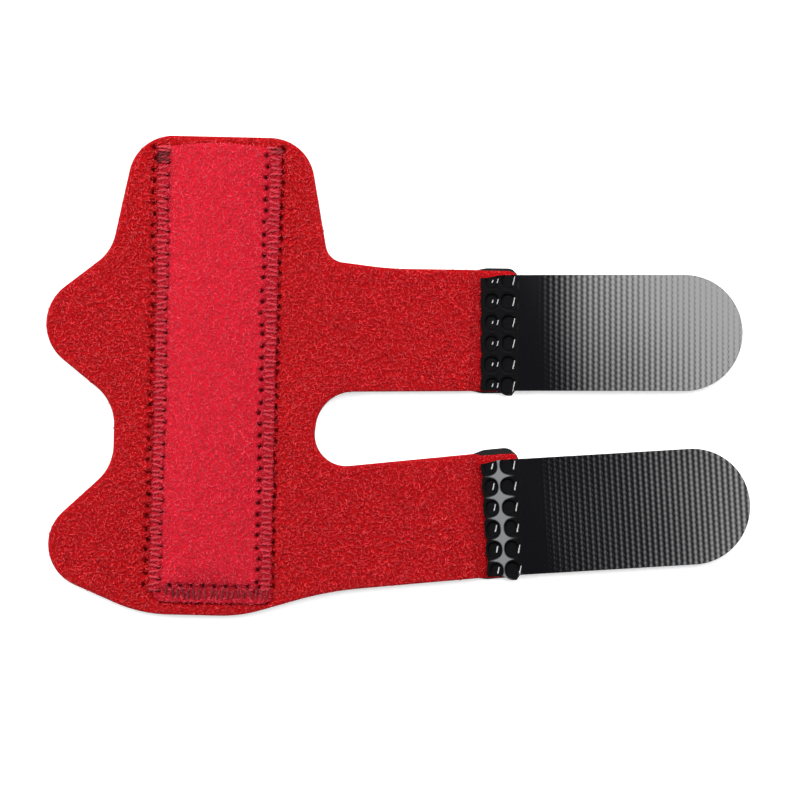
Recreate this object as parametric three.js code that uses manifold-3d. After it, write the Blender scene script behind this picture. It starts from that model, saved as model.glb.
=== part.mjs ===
// Finger splint, laid open with its outside up: a die-cut wrap of red loop fabric on black foam,
// a stay pocket sewn up its middle, and two black hook tabs welded to the ends of its bands.
// Millimetres. +Y runs along the finger to its tip, +X along the bands, +Z up out of the loop face.
// The origin is the middle of the whole outline, on the surface that the splint lies on.
import * as THREE from "three";
import { mergeVertices } from "three/addons/utils/BufferGeometryUtils.js";
import Module from "manifold-3d";

const wasm = await Module();
wasm.setup();

// Sizes of the laminate, from the floor up
const foamThickness = 1.8;
const loopThickness = 1;
const foamWeldThickness = 0.8;
const loopWeldThickness = 0.6;
const layerGap = 0.1;
const edgeRounding = 0.45;
const foamSpread = 0.4;
const rampLength = 3.4;

// The wrap lies turned by this angle, in degrees, so that its upper band follows X.
const layTurn = 1.35;

// Sizes of the wrap's outline, measured from its long middle line and its lower edge
const wrapLength = 82.6;
const crownHalfWidth = 14.7;
const crownRootHalfWidth = 18.7;
const crownCornerRadius = 7.7;
const waistHalfWidth = 17.6;
const wingPeak = 34.6;
const wingRadius = 8.5;
const wingFillet = 8;
const notchFillet = 8.2;
const crownFillet = 3.3;
const hemHalfWidth = 8.6;
const hemShift = 3.7;
const hemRadius = 24;
const bandBlend = 60;
const bandCornerRadius = 1.8;

const bandLength = 35.3;
const slotRadius = 6;
const tabLength = 45.6;
const tabWidth = 20;

// Each band starts on the waist line, where root is a share of wrapLength and angle is in degrees.
// reach and blend, where its outer edge leaves the wrap, are shares of bandLength. It is wider than
// its tab by rootSpare and endSpare, shares of tabWidth. slot is a share of slotRadius.
const bandRows = {
  upper: {
    root: 0.601,
    angle: 1.2,
    reach: 0.966,
    rootSpare: 0.065,
    endSpare: 0.04,
    blend: 0.34,
    slot: 1.1,
  },
  lower: {
    root: 0.182,
    angle: 6.6,
    reach: 1,
    rootSpare: 0.06,
    endSpare: 0.075,
    blend: 0.034,
    slot: 0.9,
  },
};

// Hook tabs. reach, and bow, which is how far the tape rises off the floor between weld and tip, are
// shares of tabLength. drop is how far a tab lies below the middle of its band, a share of tabWidth.
const tabRows = {
  upper: { angle: 1.35, reach: 0.976, drop: 0.0075, bow: 0.011 },
  lower: { angle: 4.75, reach: 1, drop: 0.0325, bow: 0.0077 },
};
const tabThickness = 0.7;
const tabCornerRadius = 0.4;
const weldLength = 5.7;
const hookHeight = 1;
const hookRowWidth = 0.5;
const hookRowPitch = 1.85;
const hookRowsClear = 1.6;
const ribPitch = 0.93;
const ribHeight = 0.12;

// Weld dimples, pressed through the tab in two columns
const dimpleRadius = 1.25;
const dimpleFloorRadius = 0.95;
const dimpleDepth = 0.42;
const dimpleRowPitch = 3.7;
const dimpleColumns = 2;
const dimpleColumnPitch = 2.85;
const dimpleEndMargin = 1.15;
const dimpleSides = 14;

// Stay pocket, a strip sewn down along its sides and lower end and open towards the finger tip
const pocketWidth = 21;
const pocketLength = 79.2;
const pocketMargin = 2.1;
const pocketWall = 1;
const pocketEdge = 0.6;
const cavityWidth = 15.2;
const cavityHeight = 1.5;
const pocketSeamInset = 1.8;
const cavityRounding = 1.1;
const mouthBow = 1.1;

const arcTolerance = 0.03;
const cutMargin = 3;
const bevelSteps = 2;
const tapeSteps = 12;
const hookRowSteps = 6;

const loopTop = foamThickness + layerGap + loopThickness;
const weldLoopTop = foamWeldThickness + layerGap + loopWeldThickness;
const tabSeat = weldLoopTop + layerGap;
const degrees = Math.PI / 180;

// The rows of a table with a function's sizes in millimetres in their place.
function sized(rows, sizesOf) {
  return Object.fromEntries(Object.entries(rows).map(([side, row]) => [side, sizesOf(row)]));
}

const bands = sized(bandRows, (row) => ({
  root: row.root * wrapLength,
  angle: row.angle,
  length: row.reach * bandLength,
  blend: row.blend * bandLength,
  halfRoot: ((1 + row.rootSpare) * tabWidth) / 2,
  halfEnd: ((1 + row.endSpare) * tabWidth) / 2,
  slotFillet: row.slot * slotRadius,
}));
const tabs = sized(tabRows, (row) => ({
  angle: row.angle,
  length: row.reach * tabLength,
  drop: row.drop * tabWidth,
  bow: row.bow * tabLength,
}));

const finishes = {
  loopFabric: { color: 0xbc1e24, roughness: 0.95, metalness: 0 },
  foam: { color: 0x131313, roughness: 0.8, metalness: 0 },
  pocketFelt: { color: 0xd42a3a, roughness: 0.95, metalness: 0 },
  hookTape: { color: 0x141415, roughness: 0.35, metalness: 0 },
};

// Booleans

// A geometry as a solid that can be joined and cut.
function solidOf(geometry) {
  const bare = geometry.index ? geometry.toNonIndexed() : geometry.clone();
  bare.deleteAttribute("normal");
  bare.deleteAttribute("uv");
  const merged = mergeVertices(bare, 1e-4);
  const vertProperties = merged.attributes.position.array;
  const triVerts = new Uint32Array(merged.index.array);
  return new wasm.Manifold(new wasm.Mesh({ numProp: 3, vertProperties, triVerts }));
}

// A solid as a geometry with flat faces.
function geometryOf(solid) {
  const mesh = solid.getMesh();
  const geometry = new THREE.BufferGeometry();
  geometry.setAttribute("position", new THREE.BufferAttribute(mesh.vertProperties, mesh.numProp));
  geometry.setIndex(new THREE.BufferAttribute(mesh.triVerts, 1));
  const flat = geometry.toNonIndexed();
  flat.computeVertexNormals();
  return flat;
}

// Plan shapes

// A closed outline through corners, each rounded by its radius as far as its two edges allow.
function roundedOutline(corners) {
  const points = [];
  corners.forEach((corner, index) => {
    const at = new THREE.Vector2(corner.x, corner.y);
    const before = corners.at(index - 1);
    const after = corners[(index + 1) % corners.length];
    const back = new THREE.Vector2(before.x, before.y).sub(at);
    const ahead = new THREE.Vector2(after.x, after.y).sub(at);
    const room = Math.min(back.length(), ahead.length()) / 2;
    back.normalize();
    ahead.normalize();
    const half = back.angleTo(ahead) / 2;
    const reach = Math.min(corner.radius / Math.tan(half), room);
    const radius = reach * Math.tan(half);
    const toCentre = back.clone().add(ahead).normalize();
    const centre = at.clone().addScaledVector(toCentre, radius / Math.sin(half));
    const first = at.clone().addScaledVector(back, reach).sub(centre);
    const last = at.clone().addScaledVector(ahead, reach).sub(centre);
    const turn = Math.atan2(first.cross(last), first.dot(last));
    const stepAngle = 2 * Math.acos(Math.max(1 - arcTolerance / radius, 0.5));
    const steps = Math.max(1, Math.ceil(Math.abs(turn) / stepAngle));
    for (let step = 0; step <= steps; step += 1) {
      const spoke = first.clone().rotateAround(new THREE.Vector2(), (turn * step) / steps);
      points.push(spoke.add(centre));
    }
  });
  const apart = (point, index) => point.distanceTo(points.at(index - 1)) > arcTolerance;
  return points.filter(apart);
}

// A closed outline, drawn against the clock's hands, moved outwards by a distance.
function grownOutline(points, distance) {
  return points.map((point, index) => {
    const before = points.at(index - 1);
    const after = points[(index + 1) % points.length];
    const along = after.clone().sub(before).normalize();
    return new THREE.Vector2(point.x + along.y * distance, point.y - along.x * distance);
  });
}

// An upright prism over an outline, from one height to another, with its rims rounded by a radius.
function prism(points, low, high, rounding = 0) {
  const geometry = new THREE.ExtrudeGeometry(new THREE.Shape(points), {
    depth: high - low - 2 * rounding,
    bevelEnabled: rounding > 0,
    bevelThickness: rounding,
    bevelSize: rounding,
    bevelOffset: -rounding,
    bevelSegments: bevelSteps,
    steps: 1,
  });
  return solidOf(geometry.translate(0, 0, low + rounding));
}

// A side profile of x and z points, carried across y over a width.
function sideBand(points, width) {
  const geometry = new THREE.ExtrudeGeometry(new THREE.Shape(points), {
    depth: width,
    bevelEnabled: false,
    steps: 1,
  });
  return solidOf(geometry.rotateX(Math.PI / 2).translate(0, width / 2, 0));
}

// A box between two heights, from one x to another and across a width.
function block(fromX, toX, low, high, width) {
  const geometry = new THREE.BoxGeometry(toX - fromX, width, high - low);
  return solidOf(geometry.translate((fromX + toX) / 2, 0, (low + high) / 2));
}

// Bands and tabs in the wrap's plan

// The middle of a band at a distance from its root, and the point across from it by a signed width.
function bandPoint(band, along, across) {
  const angle = band.angle * degrees;
  const root = new THREE.Vector2(waistHalfWidth, band.root);
  const point = new THREE.Vector2(along, across).rotateAround(new THREE.Vector2(), angle);
  return point.add(root);
}

// Where a tab starts: back from the end of its band by the weld, and a little below its middle.
function tabStart(side) {
  const start = bandPoint(bands[side], bands[side].length - weldLength, 0);
  return start.setY(start.y - tabs[side].drop);
}

// A corner of the wrap at a signed distance from its middle line and a share of wrapLength.
function wrapCorner({ x, along, radius }) {
  return { x, y: along * wrapLength, radius };
}

// The corners of a band: at the slot, where its outer edge leaves the wrap, and at its end.
function bandCorners(band) {
  const corner = (along, across, radius) => {
    const point = bandPoint(band, along, across);
    return { x: point.x, y: point.y, radius };
  };
  return {
    slotBelow: corner(0, -band.halfRoot, band.slotFillet),
    slotAbove: corner(0, band.halfRoot, band.slotFillet),
    blendBelow: corner(band.blend, -band.halfRoot, bandBlend),
    blendAbove: corner(band.blend, band.halfRoot, bandBlend),
    endBelow: corner(band.length, -band.halfEnd, bandCornerRadius),
    endAbove: corner(band.length, band.halfEnd, bandCornerRadius),
  };
}

// The wrap's corners, round against the clock's hands from the crown's left one.
function wrapCorners() {
  const upper = bandCorners(bands.upper);
  const lower = bandCorners(bands.lower);
  const hemLeft = -hemHalfWidth - hemShift;
  const hemRight = hemHalfWidth - hemShift;
  const left = [
    { x: -crownHalfWidth, along: 1, radius: crownCornerRadius },
    { x: -crownRootHalfWidth, along: 0.756, radius: wingFillet },
    { x: -wingPeak, along: 0.603, radius: wingRadius },
    { x: -waistHalfWidth, along: 0.441, radius: notchFillet },
    { x: -waistHalfWidth, along: 0.307, radius: notchFillet },
    { x: -wingPeak, along: 0.112, radius: wingRadius },
    { x: hemLeft, along: 0, radius: hemRadius },
    { x: hemRight, along: 0, radius: hemRadius },
  ];
  const right = [
    { x: crownRootHalfWidth, along: 0.747, radius: crownFillet },
    { x: crownHalfWidth, along: 1, radius: crownCornerRadius },
  ];
  return [
    ...left.map(wrapCorner),
    lower.blendBelow,
    lower.endBelow,
    lower.endAbove,
    lower.slotAbove,
    upper.slotBelow,
    upper.endBelow,
    upper.endAbove,
    upper.blendAbove,
    ...right.map(wrapCorner),
  ];
}

// Laminate

// A solid in a tab's frame, set where that tab lies on the wrap.
function placedAtTab(solid, side) {
  const start = tabStart(side);
  return solid.rotate([0, 0, tabs[side].angle]).translate([start.x, start.y, 0]);
}

// One layer of the laminate: flat over the wrap, and pressed down a ramp to its weld height under
// each tab, where its outline grows by the spread.
function laminateLayer(outline, flat, weld, rounding, spread) {
  const wide = tabWidth + 2 * cutMargin;
  const far = weldLength + 2 * cutMargin;
  const slab = prism(outline, flat.low - (rounding ? cutMargin : 0), flat.high, rounding);
  let layer = slab.intersect(prism(grownOutline(outline, cutMargin), flat.low, flat.high));
  const endOutline = grownOutline(outline, spread);
  for (const side of Object.keys(tabs)) {
    const cut = placedAtTab(block(-rampLength, far, -cutMargin, loopTop + cutMargin, wide), side);
    const profile = [
      [-rampLength - layerGap, flat.low],
      [-rampLength, flat.low],
      [0, weld.low],
      [far, weld.low],
      [far, weld.high],
      [0, weld.high],
      [-rampLength, flat.high],
      [-rampLength - layerGap, flat.high],
    ].map(([x, z]) => new THREE.Vector2(x, z));
    const ramp = placedAtTab(sideBand(profile, wide), side);
    layer = layer.subtract(cut).add(ramp.intersect(prism(endOutline, -cutMargin, loopTop + cutMargin)));
  }
  return geometryOf(layer);
}

// The black foam under the loop face: it meets the finger, and it is squeezed out at the welds.
function foamBacking(outline) {
  const flat = { low: 0, high: foamThickness };
  const weld = { low: 0, high: foamWeldThickness };
  return laminateLayer(outline, flat, weld, 0, foamSpread);
}

// The red loop fabric that the tabs' hooks hold on to.
function loopFace(outline) {
  const flat = { low: foamThickness + layerGap, high: loopTop };
  const weld = { low: foamWeldThickness + layerGap, high: weldLoopTop };
  return laminateLayer(outline, flat, weld, edgeRounding, 0);
}

// Stay pocket

// Rises from 0 to 1 between two places, level at both.
function ease(from, to, at) {
  return THREE.MathUtils.smoothstep(at, from, to);
}

// Stations up the pocket: along is a share of its length, lift of its height, width of its width.
const pocketStations = [
  { along: 0, lift: 0, width: 1.01 },
  { along: 0.024, lift: 0, width: 1.005 },
  { along: 0.04, lift: 0.35, width: 1 },
  { along: 0.06, lift: 0.85, width: 1 },
  { along: 0.085, lift: 1, width: 0.995 },
  { along: 0.3, lift: 1, width: 0.985 },
  { along: 0.55, lift: 1, width: 0.985 },
  { along: 0.8, lift: 1, width: 0.99 },
  { along: 1, lift: 1, width: 1.01 },
];
// Places across the pocket, as shares of its half width
const pocketAcross = [0, 0.3, 0.5, 0.62, 0.68, 0.72, 0.75, 0.78, 0.83, 0.93, 1];

// The height of the pocket's sheet over its seat at a share of its half width: its under side and top.
function pocketHeights(share, lift) {
  const across = share * (pocketWidth / 2);
  const seam = pocketWidth / 2 - pocketSeamInset;
  const open = lift * (1 - ease(cavityWidth / 2 - cavityRounding, seam, across));
  const low = cavityHeight * open;
  const high = low + THREE.MathUtils.lerp(pocketWall, pocketEdge, ease(seam, pocketWidth / 2, across));
  return { low, high };
}

// The strip of the pocket as one closed sheet. Its upper edge bows out over the mouth.
function stayPocket() {
  const across = [...pocketAcross.slice(1).reverse().map((share) => -share), ...pocketAcross];
  const columns = across.length;
  const rows = pocketStations.length;
  const positions = [];
  for (const layer of ["low", "high"]) {
    for (const station of pocketStations) {
      for (const share of across) {
        const bow = mouthBow * (1 - share * share) * station.along;
        const x = share * station.width * (pocketWidth / 2);
        const y = pocketMargin + station.along * (pocketLength - mouthBow) + bow;
        const heights = pocketHeights(Math.abs(share), station.lift);
        positions.push(x, y, loopTop + layerGap + heights[layer]);
      }
    }
  }
  const index = [];
  const top = rows * columns;
  const quad = (a, b, c, d) => index.push(a, b, c, a, c, d);
  for (let row = 0; row < rows - 1; row += 1) {
    for (let column = 0; column < columns - 1; column += 1) {
      const at = row * columns + column;
      quad(at, at + columns, at + columns + 1, at + 1);
      quad(top + at, top + at + 1, top + at + columns + 1, top + at + columns);
    }
    const left = row * columns;
    const right = left + columns - 1;
    quad(left, top + left, top + left + columns, left + columns);
    quad(right, right + columns, top + right + columns, top + right);
  }
  for (let column = 0; column < columns - 1; column += 1) {
    const far = (rows - 1) * columns + column;
    quad(column, column + 1, top + column + 1, top + column);
    quad(far, top + far, top + far + 1, far + 1);
  }
  const geometry = new THREE.BufferGeometry();
  geometry.setAttribute("position", new THREE.Float32BufferAttribute(positions, 3));
  geometry.setIndex(index);
  const flat = geometry.toNonIndexed();
  flat.computeVertexNormals();
  return flat;
}

// Hook tabs, each in its own frame: x along the tab from its welded end, z from the floor

// The under side of a tab's tape at a distance along it: level on its weld, then bowed down to where
// the hooks of its tip stand on the floor.
function tapeUnderside(tab, along) {
  const share = Math.max(0, (along - weldLength) / (tab.length - weldLength));
  const drop = tabSeat - hookHeight;
  return tabSeat - drop * share + 4 * tab.bow * share * (1 - share);
}

// Distances along the free part of a tab, evenly spaced.
function freeStations(tab, from, count) {
  return Array.from({ length: count + 1 }, (_, step) => from + ((tab.length - from) * step) / count);
}

// The tape with ribs across its back.
function ribbedTape(tab) {
  const ribs = Math.floor((tab.length - weldLength) / ribPitch);
  const under = freeStations(tab, weldLength, tapeSteps).map(
    (along) => new THREE.Vector2(along, tapeUnderside(tab, along)),
  );
  const back = [];
  for (let half = 0; half <= 2 * ribs; half += 1) {
    const along = weldLength + (half * ribPitch) / 2;
    const height = tapeUnderside(tab, along) + tabThickness;
    back.push(new THREE.Vector2(along, height + (half % 2 ? ribHeight : 0)));
  }
  const tip = tapeUnderside(tab, tab.length) + tabThickness;
  if (tab.length - back[back.length - 1].x > layerGap) back.push(new THREE.Vector2(tab.length, tip));
  const start = [new THREE.Vector2(0, tabSeat + tabThickness), new THREE.Vector2(0, tabSeat)];
  return sideBand([...start, ...under, ...back.reverse()], tabWidth + cutMargin);
}

// The tab seen from above: square where it is welded, and half round at its tip.
function tabOutline(tab, inset) {
  const half = tabWidth / 2 - inset;
  const end = tab.length - inset;
  const corners = [
    { x: inset, y: half, radius: tabCornerRadius },
    { x: inset, y: -half, radius: tabCornerRadius },
    { x: end, y: -half, radius: half },
    { x: end, y: half, radius: half },
  ];
  return roundedOutline(corners);
}

// One row of hooks along the under side, as a rib.
function hookRow(tab, across) {
  const from = weldLength + hookRowsClear;
  const stations = freeStations(tab, from, hookRowSteps);
  const low = stations.map((along) => new THREE.Vector2(along, tapeUnderside(tab, along) - hookHeight));
  const high = stations.map((along) => {
    return new THREE.Vector2(along, tapeUnderside(tab, along) + tabThickness / 2);
  });
  return sideBand([...low, ...high.reverse()], hookRowWidth).translate([0, across, 0]);
}

// One weld dimple, a round pit with sloping sides.
function dimple(x, y) {
  const height = dimpleDepth * 2;
  const slope = dimpleRadius - dimpleFloorRadius;
  const rim = dimpleRadius + slope;
  const geometry = new THREE.CylinderGeometry(rim, dimpleFloorRadius, height, dimpleSides);
  geometry.rotateX(Math.PI / 2);
  return solidOf(geometry.translate(x, y, tabSeat + tabThickness));
}

// A whole tab: ribbed tape, rows of hooks under it and columns of dimples in its weld.
function hookTab(tab) {
  const low = -cutMargin;
  const high = loopTop + cutMargin;
  let body = ribbedTape(tab).intersect(prism(tabOutline(tab, 0), low, high));
  const rows = Math.floor((tabWidth / 2 - hookRowWidth) / hookRowPitch);
  const rowsOutline = prism(tabOutline(tab, hookRowWidth), low, high);
  for (let row = -rows; row <= rows; row += 1) {
    body = body.add(hookRow(tab, row * hookRowPitch).intersect(rowsOutline));
  }
  const dimpleRows = Math.ceil(tabWidth / dimpleRowPitch);
  for (let column = 0; column < dimpleColumns; column += 1) {
    for (let row = 0; row < dimpleRows; row += 1) {
      const across = (row - (dimpleRows - 1) / 2) * dimpleRowPitch;
      body = body.subtract(dimple(dimpleEndMargin + column * dimpleColumnPitch, across));
    }
  }
  return geometryOf(body);
}

// Assembly

// A named mesh in one of the finishes.
function piece(name, geometry, finish) {
  const mesh = new THREE.Mesh(geometry, new THREE.MeshStandardMaterial(finish));
  mesh.name = name;
  return mesh;
}

function splint() {
  const outline = roundedOutline(wrapCorners());
  const laid = new THREE.Group();
  laid.add(piece("foam_backing", foamBacking(outline), finishes.foam));
  laid.add(piece("loop_face", loopFace(outline), finishes.loopFabric));
  laid.add(piece("stay_pocket", stayPocket(), finishes.pocketFelt));
  for (const side of Object.keys(tabs)) {
    const tab = piece(`hook_tab_${side}`, hookTab(tabs[side]), finishes.hookTape);
    const start = tabStart(side);
    tab.position.set(start.x, start.y, 0);
    tab.rotation.z = tabs[side].angle * degrees;
    laid.add(tab);
  }
  laid.rotation.z = -layTurn * degrees;
  const middle = new THREE.Box3().setFromObject(laid, true).getCenter(new THREE.Vector3());
  laid.position.set(-middle.x, -middle.y, 0);
  const group = new THREE.Group();
  group.add(laid);
  return group;
}

export default splint();
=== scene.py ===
"""Looks of the finger splint, laid open with its outside up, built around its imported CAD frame.

Shapes are worked out in millimetres in the wrap's own frame: y runs from the hem to the crown along the
middle line, x to the bands, z up from the floor. Lay sets them into the row frame in metres.
"""

from __future__ import annotations

import logging
import math
from collections.abc import Callable, Sequence
from dataclasses import dataclass, field
from enum import Enum
from typing import Any

import bmesh
import bpy
import numpy as np
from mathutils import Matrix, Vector
from mathutils.geometry import delaunay_2d_cdt


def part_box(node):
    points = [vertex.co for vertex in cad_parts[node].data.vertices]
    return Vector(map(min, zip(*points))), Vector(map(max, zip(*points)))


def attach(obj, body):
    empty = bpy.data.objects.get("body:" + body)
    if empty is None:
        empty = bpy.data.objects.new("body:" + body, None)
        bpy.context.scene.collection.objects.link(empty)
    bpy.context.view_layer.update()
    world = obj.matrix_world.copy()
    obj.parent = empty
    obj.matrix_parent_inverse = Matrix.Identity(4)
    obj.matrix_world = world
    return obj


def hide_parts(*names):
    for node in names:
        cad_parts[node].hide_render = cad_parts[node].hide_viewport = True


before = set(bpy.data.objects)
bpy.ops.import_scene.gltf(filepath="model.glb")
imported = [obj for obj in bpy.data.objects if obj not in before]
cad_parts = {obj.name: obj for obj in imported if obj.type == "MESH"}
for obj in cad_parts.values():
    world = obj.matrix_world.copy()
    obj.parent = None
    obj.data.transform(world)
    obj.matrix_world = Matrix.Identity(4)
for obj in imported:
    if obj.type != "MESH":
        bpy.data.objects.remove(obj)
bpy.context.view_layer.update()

log = logging.getLogger("finger_splint")

MM = 0.001
FULL_TURN = 2 * math.pi
Array = np.ndarray
Faces = list[np.ndarray]


# ---------------------------------------------------------------- number helpers


def smooth(low: float | Array, high: float | Array, at: Array) -> Array:
    """Rises from 0 at low to 1 at high, level at both: 3s^2 - 2s^3 of the share s between them."""
    share = np.clip((at - low) / (high - low), 0.0, 1.0)
    return share * share * (3 - 2 * share)


def unit(vectors: Array) -> Array:
    """Each vector divided by its own length."""
    return vectors / np.maximum(np.linalg.norm(vectors, axis=-1, keepdims=True), 1e-12)


def turned(points: Array, angle: float) -> Array:
    """Plan points turned about the origin: x' = x cos a - y sin a, y' = x sin a + y cos a."""
    cos, sin = math.cos(angle), math.sin(angle)
    return points @ np.array([[cos, sin], [-sin, cos]])


def unevenness(x: Array, y: Array, wave: float, seed: int) -> Array:
    """Gentle seeded unevenness from about -1 to 1: the mean of nine sine waves in random directions.

    Args:
        x: Places along x, in mm.
        y: Places along y, in mm.
        wave: The usual length of a wave, in mm.
        seed: Seed of the directions, lengths and phases.

    Returns:
        The unevenness at each place.
    """
    rng = np.random.default_rng(seed)
    heading = rng.uniform(0, FULL_TURN, 9)
    rate = FULL_TURN / (wave * rng.uniform(0.7, 1.5, 9))
    phase = rng.uniform(0, FULL_TURN, 9)
    across = x[..., None] * np.cos(heading) + y[..., None] * np.sin(heading)
    return np.sin(across * rate + phase).sum(-1) / 4.5


def rounded_outline(corners: Array, arc_points: int = 26) -> Array:
    """A closed outline with each corner replaced by a tangent arc.

    The arc's reach back along its edges is radius / tan(half the corner's angle), cut to half the shorter
    edge, and its centre lies radius / sin(half) along the corner's bisector.

    Args:
        corners: Rows of x, y and radius in mm, against the clock's hands.
        arc_points: Points on each arc.

    Returns:
        The outline's points, shape (corners * arc_points, 2).
    """
    at = corners[:, :2]
    back, ahead = np.roll(at, 1, 0) - at, np.roll(at, -1, 0) - at
    room = np.minimum(np.linalg.norm(back, axis=1), np.linalg.norm(ahead, axis=1)) / 2
    back, ahead = unit(back), unit(ahead)
    half = np.arccos(np.clip((back * ahead).sum(1), -1, 1)) / 2
    reach = np.minimum(corners[:, 2] / np.tan(half), room)
    radius = reach * np.tan(half)
    centre = at + unit(back + ahead) * (radius / np.sin(half))[:, None]
    first = at + back * reach[:, None] - centre
    last = at + ahead * reach[:, None] - centre
    cross = first[:, 0] * last[:, 1] - first[:, 1] * last[:, 0]
    turn = np.arctan2(cross, (first * last).sum(1))
    angle = turn[:, None] * np.linspace(0, 1, arc_points)
    cos, sin = np.cos(angle), np.sin(angle)
    x = first[:, :1] * cos - first[:, 1:] * sin
    y = first[:, :1] * sin + first[:, 1:] * cos
    return (np.stack([x, y], -1) + centre[:, None]).reshape(-1, 2)


def evenly_spaced(points: Array, spacing: float) -> Array:
    """A closed outline's points at equal steps along its length, about spacing mm apart."""
    closed = np.vstack([points, points[:1]])
    length = np.concatenate([[0], np.cumsum(np.linalg.norm(np.diff(closed, axis=0), axis=1))])
    steps = np.linspace(0, length[-1], int(length[-1] / spacing), endpoint=False)
    return np.stack([np.interp(steps, length, closed[:, axis]) for axis in (0, 1)], 1)


def outward(ring: Array) -> Array:
    """The outward direction at each point of an outline drawn against the clock's hands."""
    along = unit(np.roll(ring, -1, 0) - np.roll(ring, 1, 0))
    return np.stack([along[:, 1], -along[:, 0]], 1)


def clear_of(points: Array, others: Array, distance: float) -> Array:
    """Whether each point is further than a distance from all of the others, a few thousand at a time."""
    found = [
        (((part[:, None] - others[None]) ** 2).sum(-1) > distance**2).all(1)
        for part in np.array_split(points, len(points) // 3000 + 1)
    ]
    return np.concatenate(found)


# ---------------------------------------------------------------- mesh helpers


@dataclass
class Lay:
    """Where the wrap's own frame lies in the row frame: turned, then shifted to fit its CAD node."""

    turn: float = math.radians(-1.35)
    shift: Array = field(default_factory=lambda: np.zeros(2))

    def fit(self, outline: Array) -> None:
        """Shifts the frame so that the outline's lowest x and y meet those of the foam's CAD node."""
        low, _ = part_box("foam_backing")
        self.shift = np.array(low[:2]) / MM - turned(outline, self.turn).min(0)

    def to_row(self, points: Array) -> Array:
        """Points of the wrap's frame in mm, as points of the row frame in metres."""
        plan = turned(points[:, :2], self.turn) + self.shift
        return np.column_stack([plan, points[:, 2]]) * MM


LAY = Lay()


def new_piece(
    name: str,
    points: Array,
    faces: Faces,
    material: bpy.types.Material,
    values: dict[str, Array] | None = None,
    plan: Array | None = None,
    weld: float = 0.0,
    crisp: int | None = None,
) -> bpy.types.Object:
    """Makes a smooth-shaded piece at the origin from points in the wrap's frame.

    Args:
        name: The piece's name.
        points: Points in mm, shape (n, 3).
        faces: Arrays of corner indices, each of shape (faces, corners).
        material: The finish of all its faces.
        values: Named numbers for each point, which the finish reads as attributes.
        plan: A flat place for each point in mm, kept as the UV map.
        weld: Points closer than this, in mm, are merged.
        crisp: Number of the array whose faces stay flat, so that its borders are crisp edges.

    Returns:
        The new object, linked to the scene and riding on the one body.
    """
    mesh = bpy.data.meshes.new(name)
    corners = np.concatenate([part.ravel() for part in faces]).astype(np.int32)
    totals = np.concatenate([np.full(len(part), part.shape[1], np.int32) for part in faces])
    mesh.vertices.add(len(points))
    mesh.vertices.foreach_set("co", LAY.to_row(points).astype(np.float32).ravel())
    mesh.loops.add(len(corners))
    mesh.loops.foreach_set("vertex_index", corners)
    mesh.polygons.add(len(totals))
    mesh.polygons.foreach_set("loop_start", np.concatenate([[0], np.cumsum(totals)[:-1]]).astype(np.int32))
    smoothed = np.concatenate([np.full(len(part), number != crisp) for number, part in enumerate(faces)])
    mesh.polygons.foreach_set("use_smooth", smoothed)
    mesh.update(calc_edges=True)
    if plan is not None:
        layer = mesh.uv_layers.new(name="plan")
        layer.data.foreach_set("uv", plan[corners].astype(np.float32).ravel())
    for key, numbers in (values or {}).items():
        layer = mesh.attributes.new(key, "FLOAT", "POINT")
        layer.data.foreach_set("value", numbers.astype(np.float32))
    if weld:
        soft = bmesh.new()
        soft.from_mesh(mesh)
        bmesh.ops.remove_doubles(soft, verts=soft.verts, dist=weld * MM)
        soft.to_mesh(mesh)
        soft.free()
    mesh.validate()
    mesh.materials.append(material)
    piece = bpy.data.objects.new(name, mesh)
    bpy.context.scene.collection.objects.link(piece)
    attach(piece, "root")
    log.info("%s: %d points, %d faces", name, len(mesh.vertices), len(mesh.polygons))
    return piece


def grid_faces(rows: int, columns: int, start: int = 0) -> Array:
    """Quads of a grid of points numbered row by row, facing up where rows run along y and columns along x."""
    at = start + (np.arange(rows - 1)[:, None] * columns + np.arange(columns - 1)).ravel()
    return np.stack([at, at + 1, at + columns + 1, at + columns], 1)


def shell(top: Array, under: Array) -> tuple[Array, Faces]:
    """A closed shell between two grids of the same shape.

    Args:
        top: Upper points, shape (rows, columns, 3), rows along y and columns along x.
        under: Lower points, the same shape.

    Returns:
        Its points and its faces: the two grids and a strip round their rims.
    """
    rows, columns = top.shape[:2]
    index = np.arange(rows * columns).reshape(rows, columns)
    rim = np.concatenate([index[0, :-1], index[:-1, -1], index[-1, :0:-1], index[:0:-1, 0]])
    after = np.roll(rim, -1)
    lower = rows * columns
    wall = np.stack([rim, rim + lower, after + lower, after], 1)
    faces = [grid_faces(rows, columns), grid_faces(rows, columns, lower)[:, ::-1], wall]
    return np.concatenate([top.reshape(-1, 3), under.reshape(-1, 3)]), faces


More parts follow.
